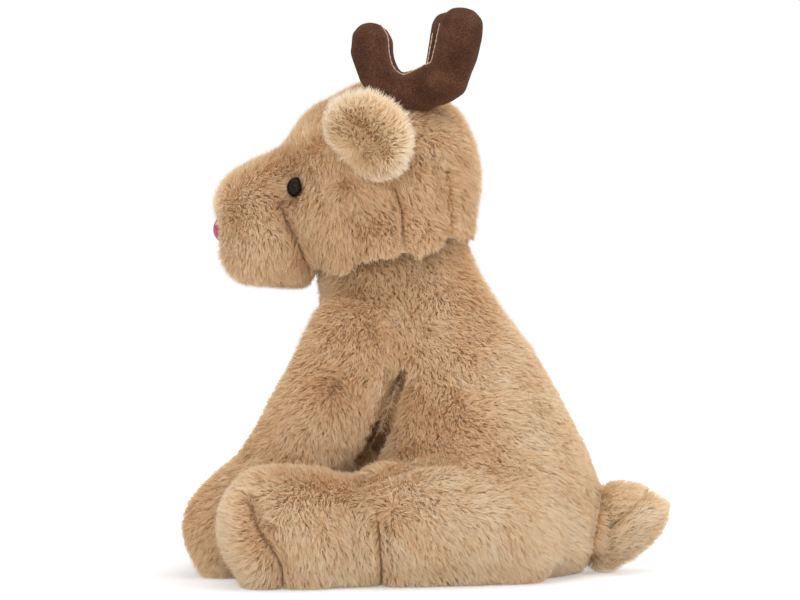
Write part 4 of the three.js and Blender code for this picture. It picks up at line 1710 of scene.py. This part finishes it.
@dataclass
class Studio:
    """The pale floor, the soft lights and the camera."""

    camera_place: Point = (-0.0156, -1.498, 0.166)
    lens: float = 110.7
    floor_size: float = 12.0
    shadow_reach: float = 0.15  # from the toy's middle, past which the floor turns white
    shadow_glow: float = 0.35  # of the floor up to there
    aim: Point = (0, 0, 0.14)  # of the lights

    def build(self) -> None:
        """Makes the camera, floor, lights and world."""
        self.camera()
        self.floor()
        self.lights()
        self.world()
        bpy.context.scene.view_settings.view_transform = "Standard"

    def camera(self) -> None:
        """A level camera at the toy's left side."""
        data = bpy.data.cameras.new("camera")
        data.lens = self.lens
        data.sensor_width = 36
        data.clip_start = 0.05
        camera = bpy.data.objects.new("camera", data)
        camera.location = self.camera_place
        camera.rotation_euler = (math.radians(90), 0, 0)
        bpy.context.scene.collection.objects.link(camera)
        bpy.context.scene.camera = camera

    def floor(self) -> None:
        """A wide floor that the camera sees as white, with the toy's shadow."""
        half = self.floor_size / 2
        corners = np.array([(-half, -half, 0), (half, -half, 0), (half, half, 0), (-half, half, 0)], float)
        floor = make_object("floor", corners, np.array([[0, 1, 2, 3]]), False)
        paint = Painter("white_floor")
        paint.set(Roughness=0.9, Specular_IOR_Level=0.1)
        grain = paint.noise(0.4)
        stops = [(0.0, (0.84, 0.84, 0.845)), (1.0, (0.86, 0.86, 0.865))]
        paint.colour(paint.ramp(grain.outputs["Fac"], stops))
        far = paint.node("ShaderNodeVectorMath", operation="LENGTH")
        paint.link(paint.node("ShaderNodeTexCoord").outputs["Object"], far.inputs[0])
        white = paint.node("ShaderNodeMapRange", interpolation_type="SMOOTHSTEP")
        span = (self.shadow_reach, 2 * self.shadow_reach, self.shadow_glow, 1.0)
        for socket, value in zip(white.inputs[1:5], span):
            socket.default_value = value
        paint.link(far.outputs["Value"], white.inputs["Value"])
        glow = paint.combined("MULTIPLY", paint.looked_at(), white.outputs["Result"])
        paint.set(Emission_Color=(*WHITE, 1))
        paint.link(glow, paint.shader.inputs["Emission Strength"])
        floor.data.materials.append(paint.material)

    def lights(self) -> None:
        """A large soft light above, fills from three sides and a small lamp for glints."""
        for name, place, size, power in (
            ("top", (0.2, -0.3, 1.5), 1.3, 9.0),
            ("front", (-0.3, -1.7, 0.8), 1.2, 8.0),
            ("back", (0.5, 1.2, 1.0), 1.0, 5.0),
            ("side", (1.5, -0.5, 0.6), 0.9, 3.5),
            ("glint", (-0.9, -1.1, 0.75), 0.16, 1.6),
        ):
            data = bpy.data.lights.new(name, "AREA")
            data.size = size
            data.energy = power
            light = bpy.data.objects.new(name, data)
            light.location = place
            aim = Vector(self.aim) - Vector(place)
            light.rotation_euler = aim.to_track_quat("-Z", "Y").to_euler()
            bpy.context.scene.collection.objects.link(light)

    def world(self) -> None:
        """White where the camera looks past the floor, and a softer grey for light."""
        world = bpy.data.worlds.new("world")
        bpy.context.scene.world = world
        world.use_nodes = True
        tree = Nodes(world.node_tree)
        strength = tree.node("ShaderNodeMapRange")
        strength.inputs["To Min"].default_value = 0.45
        strength.inputs["To Max"].default_value = 1.0
        tree.link(tree.looked_at(), strength.inputs["Value"])
        ground = tree.nodes["Background"]
        ground.inputs["Color"].default_value = (*WHITE, 1)
        tree.link(strength.outputs["Result"], ground.inputs["Strength"])


def main() -> None:
    """Builds the scene in order."""
    logging.basicConfig(level=logging.INFO, format="%(name)s %(message)s")
    Studio().build()
    Deer().build()
    Antler(Side.LEFT, 8.0).build()
    tip = Shift(((8, 332, 0), (14, 332, 4.5)), 22)
    Antler(Side.RIGHT, 30.0, setback=2.5, rise=4.0, edges=(CROTCH, UNDER_TINE, tip)).build()
    for side in Side:
        Eye(side).build()
    Nose().build()
    HiddenPieces().build()
    log.info("sizes written")


if __name__ == "__main__":
    main()
